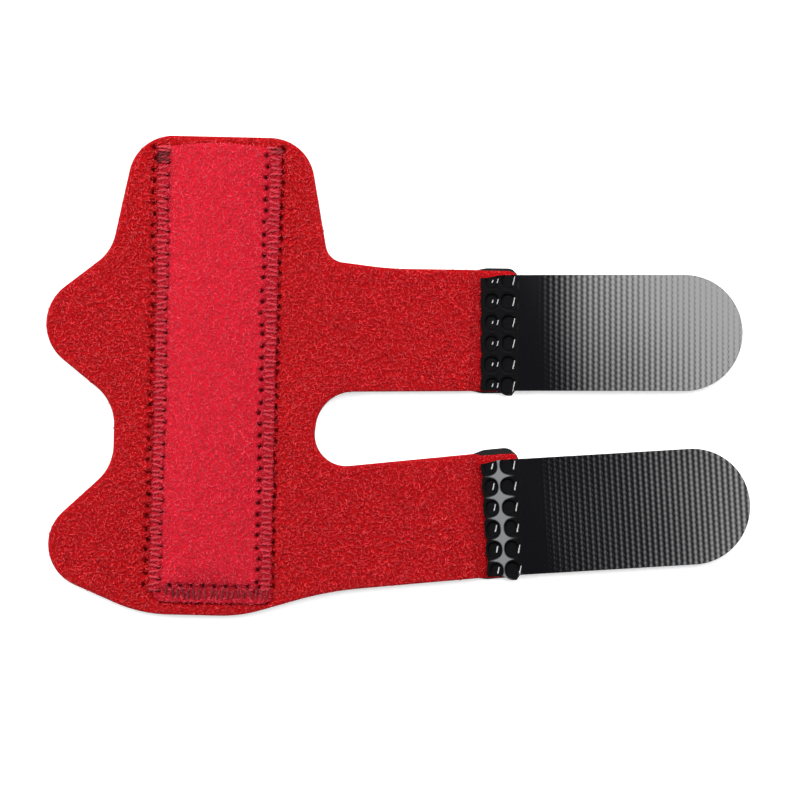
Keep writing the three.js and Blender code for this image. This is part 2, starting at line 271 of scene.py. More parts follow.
def tubes(paths: Array, radius: Array, sides: int, taper: float = 0.55) -> tuple[Array, Faces]:
    """Closed round tubes along many paths of the same number of points.

    Each ring is centre + radius * (cos a * side + sin a * top), where side is across the path and the
    vertical, and top across both.

    Args:
        paths: Centre lines in mm, shape (tubes, points, 3).
        radius: The radius of each tube in mm.
        sides: Sides of a tube.
        taper: The radius of the end rings, as a share of the tube's.

    Returns:
        The points and the faces of all the tubes.
    """
    count, steps = paths.shape[:2]
    along = unit(np.gradient(paths, axis=1))
    upright = np.where(np.abs(along[..., 2:]) > 0.95, [1.0, 0.0, 0.0], [0.0, 0.0, 1.0])
    side = unit(np.cross(along, upright))
    top = np.cross(side, along)
    angle = np.arange(sides) * FULL_TURN / sides
    ends = np.ones(steps)
    ends[[0, -1]] = taper
    reach = (radius[:, None] * ends)[:, :, None, None]
    spokes = side[:, :, None] * np.cos(angle)[:, None] + top[:, :, None] * np.sin(angle)[:, None]
    points = (paths[:, :, None] + reach * spokes).reshape(-1, 3)
    index = np.arange(count * steps * sides).reshape(count, steps, sides)
    here, there = index[:, :-1], index[:, 1:]
    walls = np.stack([here, np.roll(here, -1, 2), np.roll(there, -1, 2), there], -1).reshape(-1, 4)
    caps = np.concatenate([index[:, 0, ::-1], index[:, -1]])
    return points, [walls, caps]


# ---------------------------------------------------------------- node helper and finishes


def linear(colour: str) -> tuple[float, float, float, float]:
    """A sRGB hex colour as linear red, green and blue, with alpha 1."""
    parts = [int(colour[at : at + 2], 16) / 255 for at in (1, 3, 5)]
    red, green, blue = (c / 12.92 if c <= 0.04045 else ((c + 0.055) / 1.055) ** 2.4 for c in parts)
    return red, green, blue, 1.0


def add_node(
    tree: bpy.types.NodeTree,
    kind: str,
    settings: dict[str | int, Any] | None = None,
    links: dict[str | int, bpy.types.NodeSocket] | None = None,
) -> bpy.types.Node:
    """Adds a node to a tree, sets it and links what feeds it.

    Args:
        tree: The node tree.
        kind: The node's type.
        settings: Values by the name or number of an input, or else by the name of a property.
        links: Output sockets by the name or number of the input that they feed.

    Returns:
        The new node.
    """
    node = tree.nodes.new(kind)
    for name, value in (settings or {}).items():
        if isinstance(name, int) or name in node.inputs:
            node.inputs[name].default_value = value
        else:
            setattr(node, name, value)
    for name, socket in (links or {}).items():
        tree.links.new(socket, node.inputs[name])
    return node


def finished(name: str, surface: dict[str, Any], dress: Callable[..., dict[str, Any]]) -> bpy.types.Material:
    """A material from settings of its surface shader and a function that adds the nodes feeding it.

    Args:
        name: The material's name.
        surface: Numbers set on the shader's own inputs.
        dress: Gets the node tree and returns output sockets by the name of the input that they feed.

    Returns:
        The material.
    """
    material = bpy.data.materials.new(name)
    material.use_nodes = True
    tree = material.node_tree
    tree.nodes.clear()
    links = dress(tree)
    shader = add_node(tree, "ShaderNodeBsdfPrincipled", surface, links)
    add_node(tree, "ShaderNodeOutputMaterial", links={"Surface": shader.outputs["BSDF"]})
    return material


@dataclass(frozen=True)
class LoopStrand:
    """Dyed nylon filament of the brushed loop face. Its satin strands catch the light as short pale curls."""

    name: str = "brushed_nylon_loop_strand"
    deep: str = "#A4090E"
    bright: str = "#DE2C34"
    roughness: float = 0.24
    ior: float = 1.53
    specular: float = 0.3

    def build(self) -> bpy.types.Material:
        """The material: each strand's own shade mixes the deep dye with the bright one."""

        def dress(tree: bpy.types.NodeTree) -> dict[str, Any]:
            """Strand shade to colour."""
            shade = add_node(tree, "ShaderNodeAttribute", {"attribute_name": "shade"})
            colour = add_node(
                tree,
                "ShaderNodeMix",
                {"data_type": "RGBA", 6: linear(self.deep), 7: linear(self.bright)},
                {0: shade.outputs["Fac"]},
            )
            return {"Base Color": colour.outputs[2]}

        surface = {"Roughness": self.roughness, "IOR": self.ior, "Specular IOR Level": self.specular}
        return finished(self.name, surface, dress)


@dataclass(frozen=True)
class PileGround:
    """The matted ground under a pile: short crossed filaments, coloured darker than the strands above them as
    painted shade under the pile.
    """

    name: str
    deep: str
    bright: str
    # Near-black colour of the painted shade in needle holes.
    painted_shade: str
    strand: float
    bump: float
    roughness: float = 0.85
    ior: float = 1.53
    specular: float = 0.06

    def build(self) -> bpy.types.Material:
        """The material: tangled noise a strand wide colours and raises it, and needle holes get painted
        shade.
        """

        def dress(tree: bpy.types.NodeTree) -> dict[str, Any]:
            """Tangle of strands, soft blotches, and painted shade in needle holes and along sewn edges."""
            place = add_node(tree, "ShaderNodeTexCoord").outputs["Object"]
            tangle = add_node(
                tree,
                "ShaderNodeTexNoise",
                {"Scale": 1 / (self.strand * MM * 2), "Detail": 4.0, "Roughness": 0.62, "Distortion": 1.6},
                {"Vector": place},
            )
            blotch = add_node(tree, "ShaderNodeTexNoise", {"Scale": 110.0, "Detail": 3.0}, {"Vector": place})
            blend = add_node(
                tree,
                "ShaderNodeMath",
                {"operation": "MULTIPLY_ADD", 1: 1.7, 2: -0.35},
                {0: tangle.outputs["Fac"]},
            )
            worn = add_node(
                tree,
                "ShaderNodeMath",
                {"operation": "MULTIPLY_ADD", 1: 0.16, 2: -0.08},
                {0: blotch.outputs["Fac"]},
            )
            total = add_node(
                tree,
                "ShaderNodeMath",
                {"operation": "ADD", "use_clamp": True},
                {0: blend.outputs[0], 1: worn.outputs[0]},
            )
            colour = add_node(
                tree,
                "ShaderNodeMix",
                {"data_type": "RGBA", 6: linear(self.deep), 7: linear(self.bright)},
                {0: total.outputs[0]},
            )
            # Painted shade: a per-point attribute mixes the colour towards near black in needle holes, and on
            # the felt along its sewn edges, standing for the shade that falls in them.
            painted_shade = add_node(tree, "ShaderNodeAttribute", {"attribute_name": "painted_shade"})
            shaded_colour = add_node(
                tree,
                "ShaderNodeMix",
                {"data_type": "RGBA", 7: linear(self.painted_shade)},
                {0: painted_shade.outputs["Fac"], 6: colour.outputs[2]},
            )
            raised = add_node(
                tree,
                "ShaderNodeBump",
                {"Strength": self.bump, "Distance": self.strand * MM},
                {"Height": tangle.outputs["Fac"]},
            )
            return {"Base Color": shaded_colour.outputs[2], "Normal": raised.outputs[0]}

        surface = {"Roughness": self.roughness, "IOR": self.ior, "Specular IOR Level": self.specular}
        return finished(self.name, surface, dress)


@dataclass(frozen=True)
class ClosedCellFoam:
    """Skived closed-cell foam, matt black, with a fine open grain where its cells are cut."""

    name: str = "skived_closed_cell_foam"
    body: str = "#09090A"
    worn: str = "#111112"
    cell: float = 0.35
    roughness: float = 0.85
    ior: float = 1.5
    specular: float = 0.25

    def build(self) -> bpy.types.Material:
        """The material: cut cells a third of a millimetre wide pit the surface."""

        def dress(tree: bpy.types.NodeTree) -> dict[str, Any]:
            """Cell walls and a soft dusting."""
            place = add_node(tree, "ShaderNodeTexCoord").outputs["Object"]
            cells = add_node(tree, "ShaderNodeTexVoronoi", {"Scale": 1 / (self.cell * MM)}, {"Vector": place})
            dust = add_node(tree, "ShaderNodeTexNoise", {"Scale": 260.0, "Detail": 5.0}, {"Vector": place})
            colour = add_node(
                tree,
                "ShaderNodeMix",
                {"data_type": "RGBA", 6: linear(self.body), 7: linear(self.worn)},
                {0: dust.outputs["Fac"]},
            )
            pitted = add_node(
                tree,
                "ShaderNodeBump",
                {"Strength": 0.5, "Distance": self.cell * MM / 3},
                {"Height": cells.outputs["Distance"]},
            )
            return {"Base Color": colour.outputs[2], "Normal": pitted.outputs[0]}

        surface = {"Roughness": self.roughness, "IOR": self.ior, "Specular IOR Level": self.specular}
        return finished(self.name, surface, dress)


@dataclass(frozen=True)
class WovenNylonTape:
    """Black nylon tape woven with a rib across it: a satin back whose yarn floats show as fine beads."""

    name: str = "woven_nylon_hook_tape"
    yarn: str = "#08080A"
    worn: str = "#0E0E12"
    roughness: float = 0.08
    ior: float = 1.56
    rib: float = 0.975
    bead: float = 0.92
    bead_height: float = 0.0014
    grain: float = 0.2
    grain_height: float = 0.002

    def build(self) -> bpy.types.Material:
        """The material: beads of yarn along each rib, half a bead apart on the next, and fine grain."""

        def dress(tree: bpy.types.NodeTree) -> dict[str, Any]:
            """Yarn beads from the plan map: sine of across / bead plus half a turn on each next rib."""
            plan = add_node(tree, "ShaderNodeUVMap", {"uv_map": "plan"}).outputs["UV"]
            parts = add_node(tree, "ShaderNodeSeparateXYZ", links={"Vector": plan})
            rib = add_node(
                tree, "ShaderNodeMath", {"operation": "DIVIDE", 1: self.rib}, {0: parts.outputs["X"]}
            )
            row = add_node(tree, "ShaderNodeMath", {"operation": "FLOOR"}, {0: rib.outputs[0]})
            shift = add_node(
                tree, "ShaderNodeMath", {"operation": "MULTIPLY", 1: math.pi}, {0: row.outputs[0]}
            )
            across = add_node(
                tree,
                "ShaderNodeMath",
                {"operation": "MULTIPLY_ADD", 1: FULL_TURN / self.bead},
                {0: parts.outputs["Y"], 2: shift.outputs[0]},
            )
            bead = add_node(tree, "ShaderNodeMath", {"operation": "SINE"}, {0: across.outputs[0]})
            woven = add_node(tree, "ShaderNodeAttribute", {"attribute_name": "woven"})
            beads = add_node(
                tree,
                "ShaderNodeMath",
                {"operation": "MULTIPLY"},
                {0: bead.outputs[0], 1: woven.outputs["Fac"]},
            )
            grain = add_node(
                tree, "ShaderNodeTexNoise", {"Scale": 1 / self.grain, "Detail": 3.0}, {"Vector": plan}
            )
            raised = add_node(
                tree,
                "ShaderNodeBump",
                {"Strength": 1.0, "Distance": self.bead_height * MM},
                {"Height": beads.outputs[0]},
            )
            fuzzed = add_node(
                tree,
                "ShaderNodeMath",
                {"operation": "MULTIPLY"},
                {0: grain.outputs["Fac"], 1: woven.outputs["Fac"]},
            )
            fine = add_node(
                tree,
                "ShaderNodeBump",
                {"Strength": 0.6, "Distance": self.grain_height * MM},
                {"Height": fuzzed.outputs[0], "Normal": raised.outputs[0]},
            )
            colour = add_node(
                tree,
                "ShaderNodeMix",
                {"data_type": "RGBA", 6: linear(self.yarn), 7: linear(self.worn)},
                {0: grain.outputs["Fac"]},
            )
            return {"Base Color": colour.outputs[2], "Normal": fine.outputs[0]}

        return finished(self.name, {"Roughness": self.roughness, "IOR": self.ior}, dress)


@dataclass(frozen=True)
class MeltedNylon:
    """Nylon melted by a hot welding horn: matt black, with painted sheen on its ridges, and its lips glassy.
    """

    name: str = "melted_nylon_weld"
    body: str = "#040405"
    burnt: str = "#09090B"
    # Light grey of the painted sheen on the ridges between the pits.
    sheen_grey: str = "#747577"
    roughness: tuple[float, float] = (0.5, 0.14)
    ior: float = 1.56
    specular: tuple[float, float] = (0.032, 0.5)
    plain_specular: float = 0.12
    ripple: float = 0.5
    ripple_height: float = 0.006

    def build(self) -> bpy.types.Material:
        """The material: ripples half a millimetre long, matt or glassy by the gloss of each place.

        The pairs are the matt and the glassy value. An export that drops the linked specular level falls
        back on the plain one.
        """

        def dress(tree: bpy.types.NodeTree) -> dict[str, Any]:
            """Ripples, a slightly paler burnt skin, ridges painted light grey as painted sheen, and glassy
            lips.
            """
            place = add_node(tree, "ShaderNodeTexCoord").outputs["Object"]
            ripple = add_node(
                tree,
                "ShaderNodeTexNoise",
                {"Scale": 1 / (self.ripple * MM), "Detail": 3.0, "Distortion": 0.6},
                {"Vector": place},
            )
            colour = add_node(
                tree,
                "ShaderNodeMix",
                {"data_type": "RGBA", 6: linear(self.body), 7: linear(self.burnt)},
                {0: ripple.outputs["Fac"]},
            )
            # Painted sheen: a per-point attribute mixes the ridges between the pits towards light grey,
            # standing for the reflection that they catch.
            ridge_sheen = add_node(tree, "ShaderNodeAttribute", {"attribute_name": "ridge_sheen"})
            sheened = add_node(
                tree,
                "ShaderNodeMix",
                {"data_type": "RGBA", 7: linear(self.sheen_grey)},
                {0: ridge_sheen.outputs["Fac"], 6: colour.outputs[2]},
            )
            raised = add_node(
                tree,
                "ShaderNodeBump",
                {"Strength": 0.5, "Distance": self.ripple_height * MM},
                {"Height": ripple.outputs["Fac"]},
            )
            gloss = add_node(tree, "ShaderNodeAttribute", {"attribute_name": "gloss"}).outputs["Fac"]
            ranges = {"Roughness": self.roughness, "Specular IOR Level": self.specular}
            sockets = {
                name: add_node(
                    tree, "ShaderNodeMapRange", {"To Min": matt, "To Max": glassy}, {"Value": gloss}
                ).outputs["Result"]
                for name, (matt, glassy) in ranges.items()
            }
            return {"Base Color": sheened.outputs[2], "Normal": raised.outputs[0], **sockets}

        surface = {"IOR": self.ior, "Specular IOR Level": self.plain_specular}
        return finished(self.name, surface, dress)


@dataclass(frozen=True)
class PolyesterThread:
    """Twisted trilobal polyester sewing thread with a soft silky lustre, drawn as lit and shaded copies of
    one red: its bright colour is painted highlight, its deep one painted shade.
    """

    name: str = "twisted_polyester_thread"
    deep: str = "#4E040A"
    bright: str = "#B4303C"
    roughness: float = 0.5
    ior: float = 1.58
    specular: float = 0.18

    def build(self) -> bpy.types.Material:
        """The material: filaments a twentieth of a millimetre wide streak the painted light level of each
        ply.
        """

        def dress(tree: bpy.types.NodeTree) -> dict[str, Any]:
            """Filament streaks over the ply's painted light level, between painted shade and painted
            highlight.
            """
            place = add_node(tree, "ShaderNodeTexCoord").outputs["Object"]
            streak = add_node(
                tree, "ShaderNodeTexNoise", {"Scale": 9000.0, "Detail": 2.0}, {"Vector": place}
            )
            # Painted light: the shade attribute says how lit each thread is drawn, from painted shade to
            # painted highlight.
            shade = add_node(tree, "ShaderNodeAttribute", {"attribute_name": "shade"})
            mixed = add_node(
                tree,
                "ShaderNodeMath",
                {"operation": "MULTIPLY_ADD", 1: 0.4, "use_clamp": True},
                {0: streak.outputs["Fac"], 2: shade.outputs["Fac"]},
            )
            colour = add_node(
                tree,
                "ShaderNodeMix",
                {"data_type": "RGBA", 6: linear(self.deep), 7: linear(self.bright)},
                {0: mixed.outputs[0]},
            )
            return {"Base Color": colour.outputs[2]}

        surface = {"Roughness": self.roughness, "IOR": self.ior, "Specular IOR Level": self.specular}
        return finished(self.name, surface, dress)


@dataclass(frozen=True)
class HookFilament:
    """Drawn nylon monofilament, cut into hooks: semi-gloss black."""

    name: str = "drawn_nylon_hook_filament"
    body: str = "#0D0D0E"
    cut: str = "#242427"
    roughness: float = 0.35
    ior: float = 1.53

    def build(self) -> bpy.types.Material:
        """The material: the filament with slightly paler, stressed bends."""

        def dress(tree: bpy.types.NodeTree) -> dict[str, Any]:
            """Stress marks a quarter of a millimetre long."""
            place = add_node(tree, "ShaderNodeTexCoord").outputs["Object"]
            marks = add_node(tree, "ShaderNodeTexNoise", {"Scale": 4000.0, "Detail": 2.0}, {"Vector": place})
            colour = add_node(
                tree,
                "ShaderNodeMix",
                {"data_type": "RGBA", 6: linear(self.body), 7: linear(self.cut)},
                {0: marks.outputs["Fac"]},
            )
            return {"Base Color": colour.outputs[2]}

        return finished(self.name, {"Roughness": self.roughness, "IOR": self.ior}, dress)


@dataclass(frozen=True)
class PaperSweep:
    """Matt white paper on a dim light table, so that shadows on it stay faint."""

    name: str = "matt_white_paper"
    low: str = "#DDDDDD"
    high: str = "#E3E3E3"
    roughness: float = 0.95
    specular: float = 0.1
    glow: float = 0.52

    def build(self) -> bpy.types.Material:
        """The material: a very faint mottling, so that it isn't one flat colour."""

        def dress(tree: bpy.types.NodeTree) -> dict[str, Any]:
            """Faint mottling."""
            place = add_node(tree, "ShaderNodeTexCoord").outputs["Object"]
            tooth = add_node(tree, "ShaderNodeTexNoise", {"Scale": 40.0, "Detail": 4.0}, {"Vector": place})
            colour = add_node(
                tree,
                "ShaderNodeMix",
                {"data_type": "RGBA", 6: linear(self.low), 7: linear(self.high)},
                {0: tooth.outputs["Fac"]},
            )
            return {"Base Color": colour.outputs[2]}

        glow = {"Emission Color": (1.0, 1.0, 1.0, 1.0), "Emission Strength": self.glow}
        surface = {"Roughness": self.roughness, "Specular IOR Level": self.specular, **glow}
        return finished(self.name, surface, dress)


# Both grounds' deep and bright colours sit below those of their strands: painted shade under the pile over
# the cloth's own red. Their near-black hole colours are painted shade in the needle holes.
LOOP_GROUND = PileGround(
    "brushed_nylon_loop_ground", deep="#660206", bright="#BE0C12", painted_shade="#0C0001", strand=0.16, bump=0.9
)
FELT_GROUND = PileGround(
    "needled_felt_ground", deep="#960814", bright="#CA1C30", painted_shade="#220205", strand=0.2, bump=0.9
)


# ---------------------------------------------------------------- the wrap's plan


class Side(Enum):
    """The two bands, and the hook tab on each."""

    UPPER = "upper"
    LOWER = "lower"


@dataclass(frozen=True)
class Band:
    """A band of the wrap, in mm and degrees: its root on the waist line, and its widths either side."""

    root: float
    angle: float
    length: float
    blend: float
    half_root: float
    half_end: float
    slot_fillet: float
    cloth_above: float
    cloth_below: float
    bulge: float
    corner_reach: float


@dataclass(frozen=True)
class Tab:
    """A hook tab, in mm and degrees: how far it lies below its band's middle, and how its tape lies.

    The tape bows up by bow, springs up from its weld at the slope spring, cups across by cup * y^2, and
    its weld's top falls towards the wrap at the slope weld_fall. The welded edge lies at weld_start and is
    scalloped by scallop, and the ridges between its pits get painted sheen by the tab's last share.
    """

    angle: float
    length: float
    drop: float
    bow: float
    spring: float
    cup: float
    weld_fall: float
    weld_start: float
    scallop: float
    # Share of painted sheen on the ridges between the pits.
    ridge_sheen: float


@dataclass(frozen=True)
class Wrap:
    """The die-cut wrap: its outline, the heights of its layers and the lie of its tabs, in mm."""

    length: float = 82.6
    waist: float = 17.6
    band_blend: float = 60.0
    band_corner: float = 1.8
    weld_length: float = 5.7
    ramp: float = 2.2
    foam_high: float = 1.8
    cloth_low: float = 1.9
    cloth_high: float = 2.87
    press: float = 1.0
    cloth_press: float = 1.5
    foam_spread: float = 0.4
    near_across: float = 15.0
    near_back: float = -10.0
    left_corners: tuple[tuple[float, float, float], ...] = (
        (-14.7, 1.0, 7.7),
        (-18.7, 0.756, 8.0),
        (-34.6, 0.603, 8.5),
        (-17.6, 0.441, 8.2),
        (-17.6, 0.307, 8.2),
        (-34.6, 0.112, 8.5),
        (-12.3, 0.0, 24.0),
        (4.9, 0.0, 24.0),
    )
    right_corners: tuple[tuple[float, float, float], ...] = ((18.7, 0.747, 3.3), (14.7, 1.0, 7.7))
    bands: dict[Side, Band] = field(
        default_factory=lambda: {
            Side.UPPER: Band(49.643, 1.2, 34.1, 12.0, 10.65, 10.4, 6.6, 0.1, -0.05, 0.0, 0.0),
            Side.LOWER: Band(15.033, 6.6, 35.3, 1.2, 10.6, 10.75, 5.4, 0.55, -0.15, 0.12, 0.5),
        }
    )
    tabs: dict[Side, Tab] = field(
        default_factory=lambda: {
            Side.UPPER: Tab(1.35, 44.506, 0.4, 0.5016, 0.085, 0.0, 0.07, -0.72, 0.25, 0.0),
            Side.LOWER: Tab(4.75, 45.6, 0.65, 0.3511, 0.0, 0.0008, 0.0, -0.42, 0.4, 0.85),
        }
    )

    def band_point(self, side: Side, along: float, across: float) -> Array:
        """The point at a distance from a band's root along its middle, and across from it."""
        band = self.bands[side]
        return turned(np.array([along, across]), math.radians(band.angle)) + [self.waist, band.root]

    def outline(self) -> Array:
        """The whole outline against the clock's hands, with its corners rounded."""

        def band_rows(side: Side) -> dict[str, list[float]]:
            """The corners of a band: at the slot, where it leaves the wrap and at its end."""
            band = self.bands[side]
            rows = {
                "slot_below": (0.0, -band.half_root, band.slot_fillet),
                "slot_above": (0.0, band.half_root, band.slot_fillet),
                "blend_below": (band.blend, -band.half_root, self.band_blend),
                "blend_above": (band.blend, band.half_root, self.band_blend),
                "end_below": (band.length, -band.half_end, self.band_corner),
                "end_above": (band.length, band.half_end, self.band_corner),
            }
            return {key: [*self.band_point(side, row[0], row[1]), row[2]] for key, row in rows.items()}

        upper, lower = band_rows(Side.UPPER), band_rows(Side.LOWER)
        corners = [
            *([x, share * self.length, radius] for x, share, radius in self.left_corners),
            lower["blend_below"],
            lower["end_below"],
            lower["end_above"],
            lower["slot_above"],
            upper["slot_below"],
            upper["end_below"],
            upper["end_above"],
            upper["blend_above"],
            *([x, share * self.length, radius] for x, share, radius in self.right_corners),
        ]
        return rounded_outline(np.array(corners))

    def tab_start(self, side: Side) -> Array:
        """Where a tab's welded end lies: back from its band's end, and a little below its middle."""
        point = self.band_point(side, self.bands[side].length - self.weld_length, 0.0)
        return point - [0.0, self.tabs[side].drop]

    def in_tab(self, side: Side, plan: Array) -> Array:
        """Plan points in a tab's own frame: x along it from its welded end, y across."""
        return turned(plan - self.tab_start(side), -math.radians(self.tabs[side].angle))

    def from_tab(self, side: Side, points: Array) -> Array:
        """Points of a tab's own frame, set into the wrap's frame."""
        plan = turned(points[:, :2], math.radians(self.tabs[side].angle)) + self.tab_start(side)
        return np.column_stack([plan, points[:, 2]])

    def near_tab(self, place: Array) -> Array:
        """Whether places of a tab's own frame lie round its own band, and not by the other one."""
        return (np.abs(place[:, 1]) < self.near_across) & (place[:, 0] > self.near_back)

    def pressed(self, plan: Array) -> Array:
        """How far the welding press holds the laminate down: 0 away from the tabs, 1 under them."""
        shares = []
        for side in Side:
            place = self.in_tab(side, plan)
            near = self.near_tab(place)
            shares.append(near * smooth(-0.9 - self.ramp, -0.9, place[:, 0]))
        return np.max(shares, 0)

    def squeezed(self, ring: Array, of_foam: bool) -> Array:
        """An outline as the weld leaves it: the foam is squeezed out, and the cloth draws in.

        Args:
            ring: The cut outline.
            of_foam: True for the foam, False for the cloth over it.

        Returns:
            The outline, moved along its outward direction near each tab.
        """
        moved = ring.copy()
        normal = outward(ring)
        for side in Side:
            band, place = self.bands[side], self.in_tab(side, ring)
            near = self.near_tab(place)
            above = smooth(-2, 2, place[:, 1])
            share = near * smooth(-2.6 + 0.6 * above, -0.2 + 0.8 * above, place[:, 0])
            level = smooth(0.75, 0.98, np.abs(normal[:, 1]))
            out = self.foam_spread * (0.6 + 0.4 * level) + band.bulge * above * level
            drawn = -(band.cloth_above * above + band.cloth_below * (1 - above)) * level
            moved += normal * ((out if of_foam else drawn) * share)[:, None]
            reach = band.corner_reach * near * above * smooth(3.8, 5.6, place[:, 0])
            moved += turned(np.array([1.0, 0.0]), math.radians(self.tabs[side].angle)) * reach[:, None]
        return moved


# ---------------------------------------------------------------- seams


@dataclass(frozen=True)
class Seam:
    """The zig-zag seam round the pocket: places of its needle holes, in mm."""

    pitch: float = 1.93
    left_out: float = 0.74
    left_in: float = 1.68
    right_out: float = 0.16
    right_in: float = 2.4
    top: float = 80.4
    bottom: float = 4.9
    hem_out: float = 2.45
    hem_in: float = 5.15
    hem_left: float = -8.3
    hem_right: float = 9.2
    wander: float = 0.11
    seed: int = 5

    def side_rows(self, pocket: StayPocket, sign: int) -> tuple[Array, Array]:
        """The outer and the inner needle holes of one long side, from the top down.

        Args:
            pocket: The pocket whose edge the seam follows.
            sign: -1 for the left side and 1 for the right one.

        Returns:
            Outer and inner holes, each of shape (stitches, 2).
        """
        rng = np.random.default_rng(self.seed + sign)
        y = np.arange(self.top, self.bottom, -self.pitch)
        out, inside = (self.left_out, self.left_in) if sign < 0 else (self.right_out, self.right_in)
        outer = np.column_stack([pocket.middle + sign * (pocket.half_width(y) + out), y])
        low = y - self.pitch / 2
        inner = np.column_stack([pocket.middle + sign * (pocket.half_width(low) - inside), low])
        return (
            outer + rng.normal(0, self.wander, outer.shape),
            inner + rng.normal(0, self.wander, inner.shape),
        )

    def hem_rows(self) -> tuple[Array, Array]:
        """The outer and the inner needle holes of the lower end, from left to right."""
        rng = np.random.default_rng(self.seed + 7)
        x = np.arange(self.hem_left, self.hem_right, self.pitch)
        rise = 1.1 * smooth(-6.0, -10.0, x)
        outer = np.column_stack([x, self.hem_out + rise])
        inner = np.column_stack([x + self.pitch / 2, np.full(len(x), self.hem_in)])
        return (
            outer + rng.normal(0, self.wander, outer.shape),
            inner + rng.normal(0, self.wander, inner.shape),
        )

    def rows(self, pocket: StayPocket) -> list[tuple[Array, Array]]:
        """Outer and inner holes of the left side, the lower end and the right side."""
        return [self.side_rows(pocket, -1), self.hem_rows(), self.side_rows(pocket, 1)]

    def outer_holes(self, pocket: StayPocket) -> Array:
        """All holes outside the strip, which go through the loop face."""
        return np.concatenate([outer for outer, _ in self.rows(pocket)])

    def inner_holes(self, pocket: StayPocket) -> Array:
        """All holes through the strip."""
        return np.concatenate([inner for _, inner in self.rows(pocket)])


def near_holes(plan: Array, holes: Array, radius: float) -> Array:
    """How deep in a needle hole each place is: 1 within 0.35 radius of one, falling to 0 at 1.3 radius."""
    nearest = [
        ((part[:, None] - holes[None]) ** 2).sum(-1).min(1)
        for part in np.array_split(plan, len(plan) // 3000 + 1)
    ]
    return 1 - smooth(0.35, 1.3, np.sqrt(np.concatenate(nearest)) / radius)


# ---------------------------------------------------------------- stay pocket


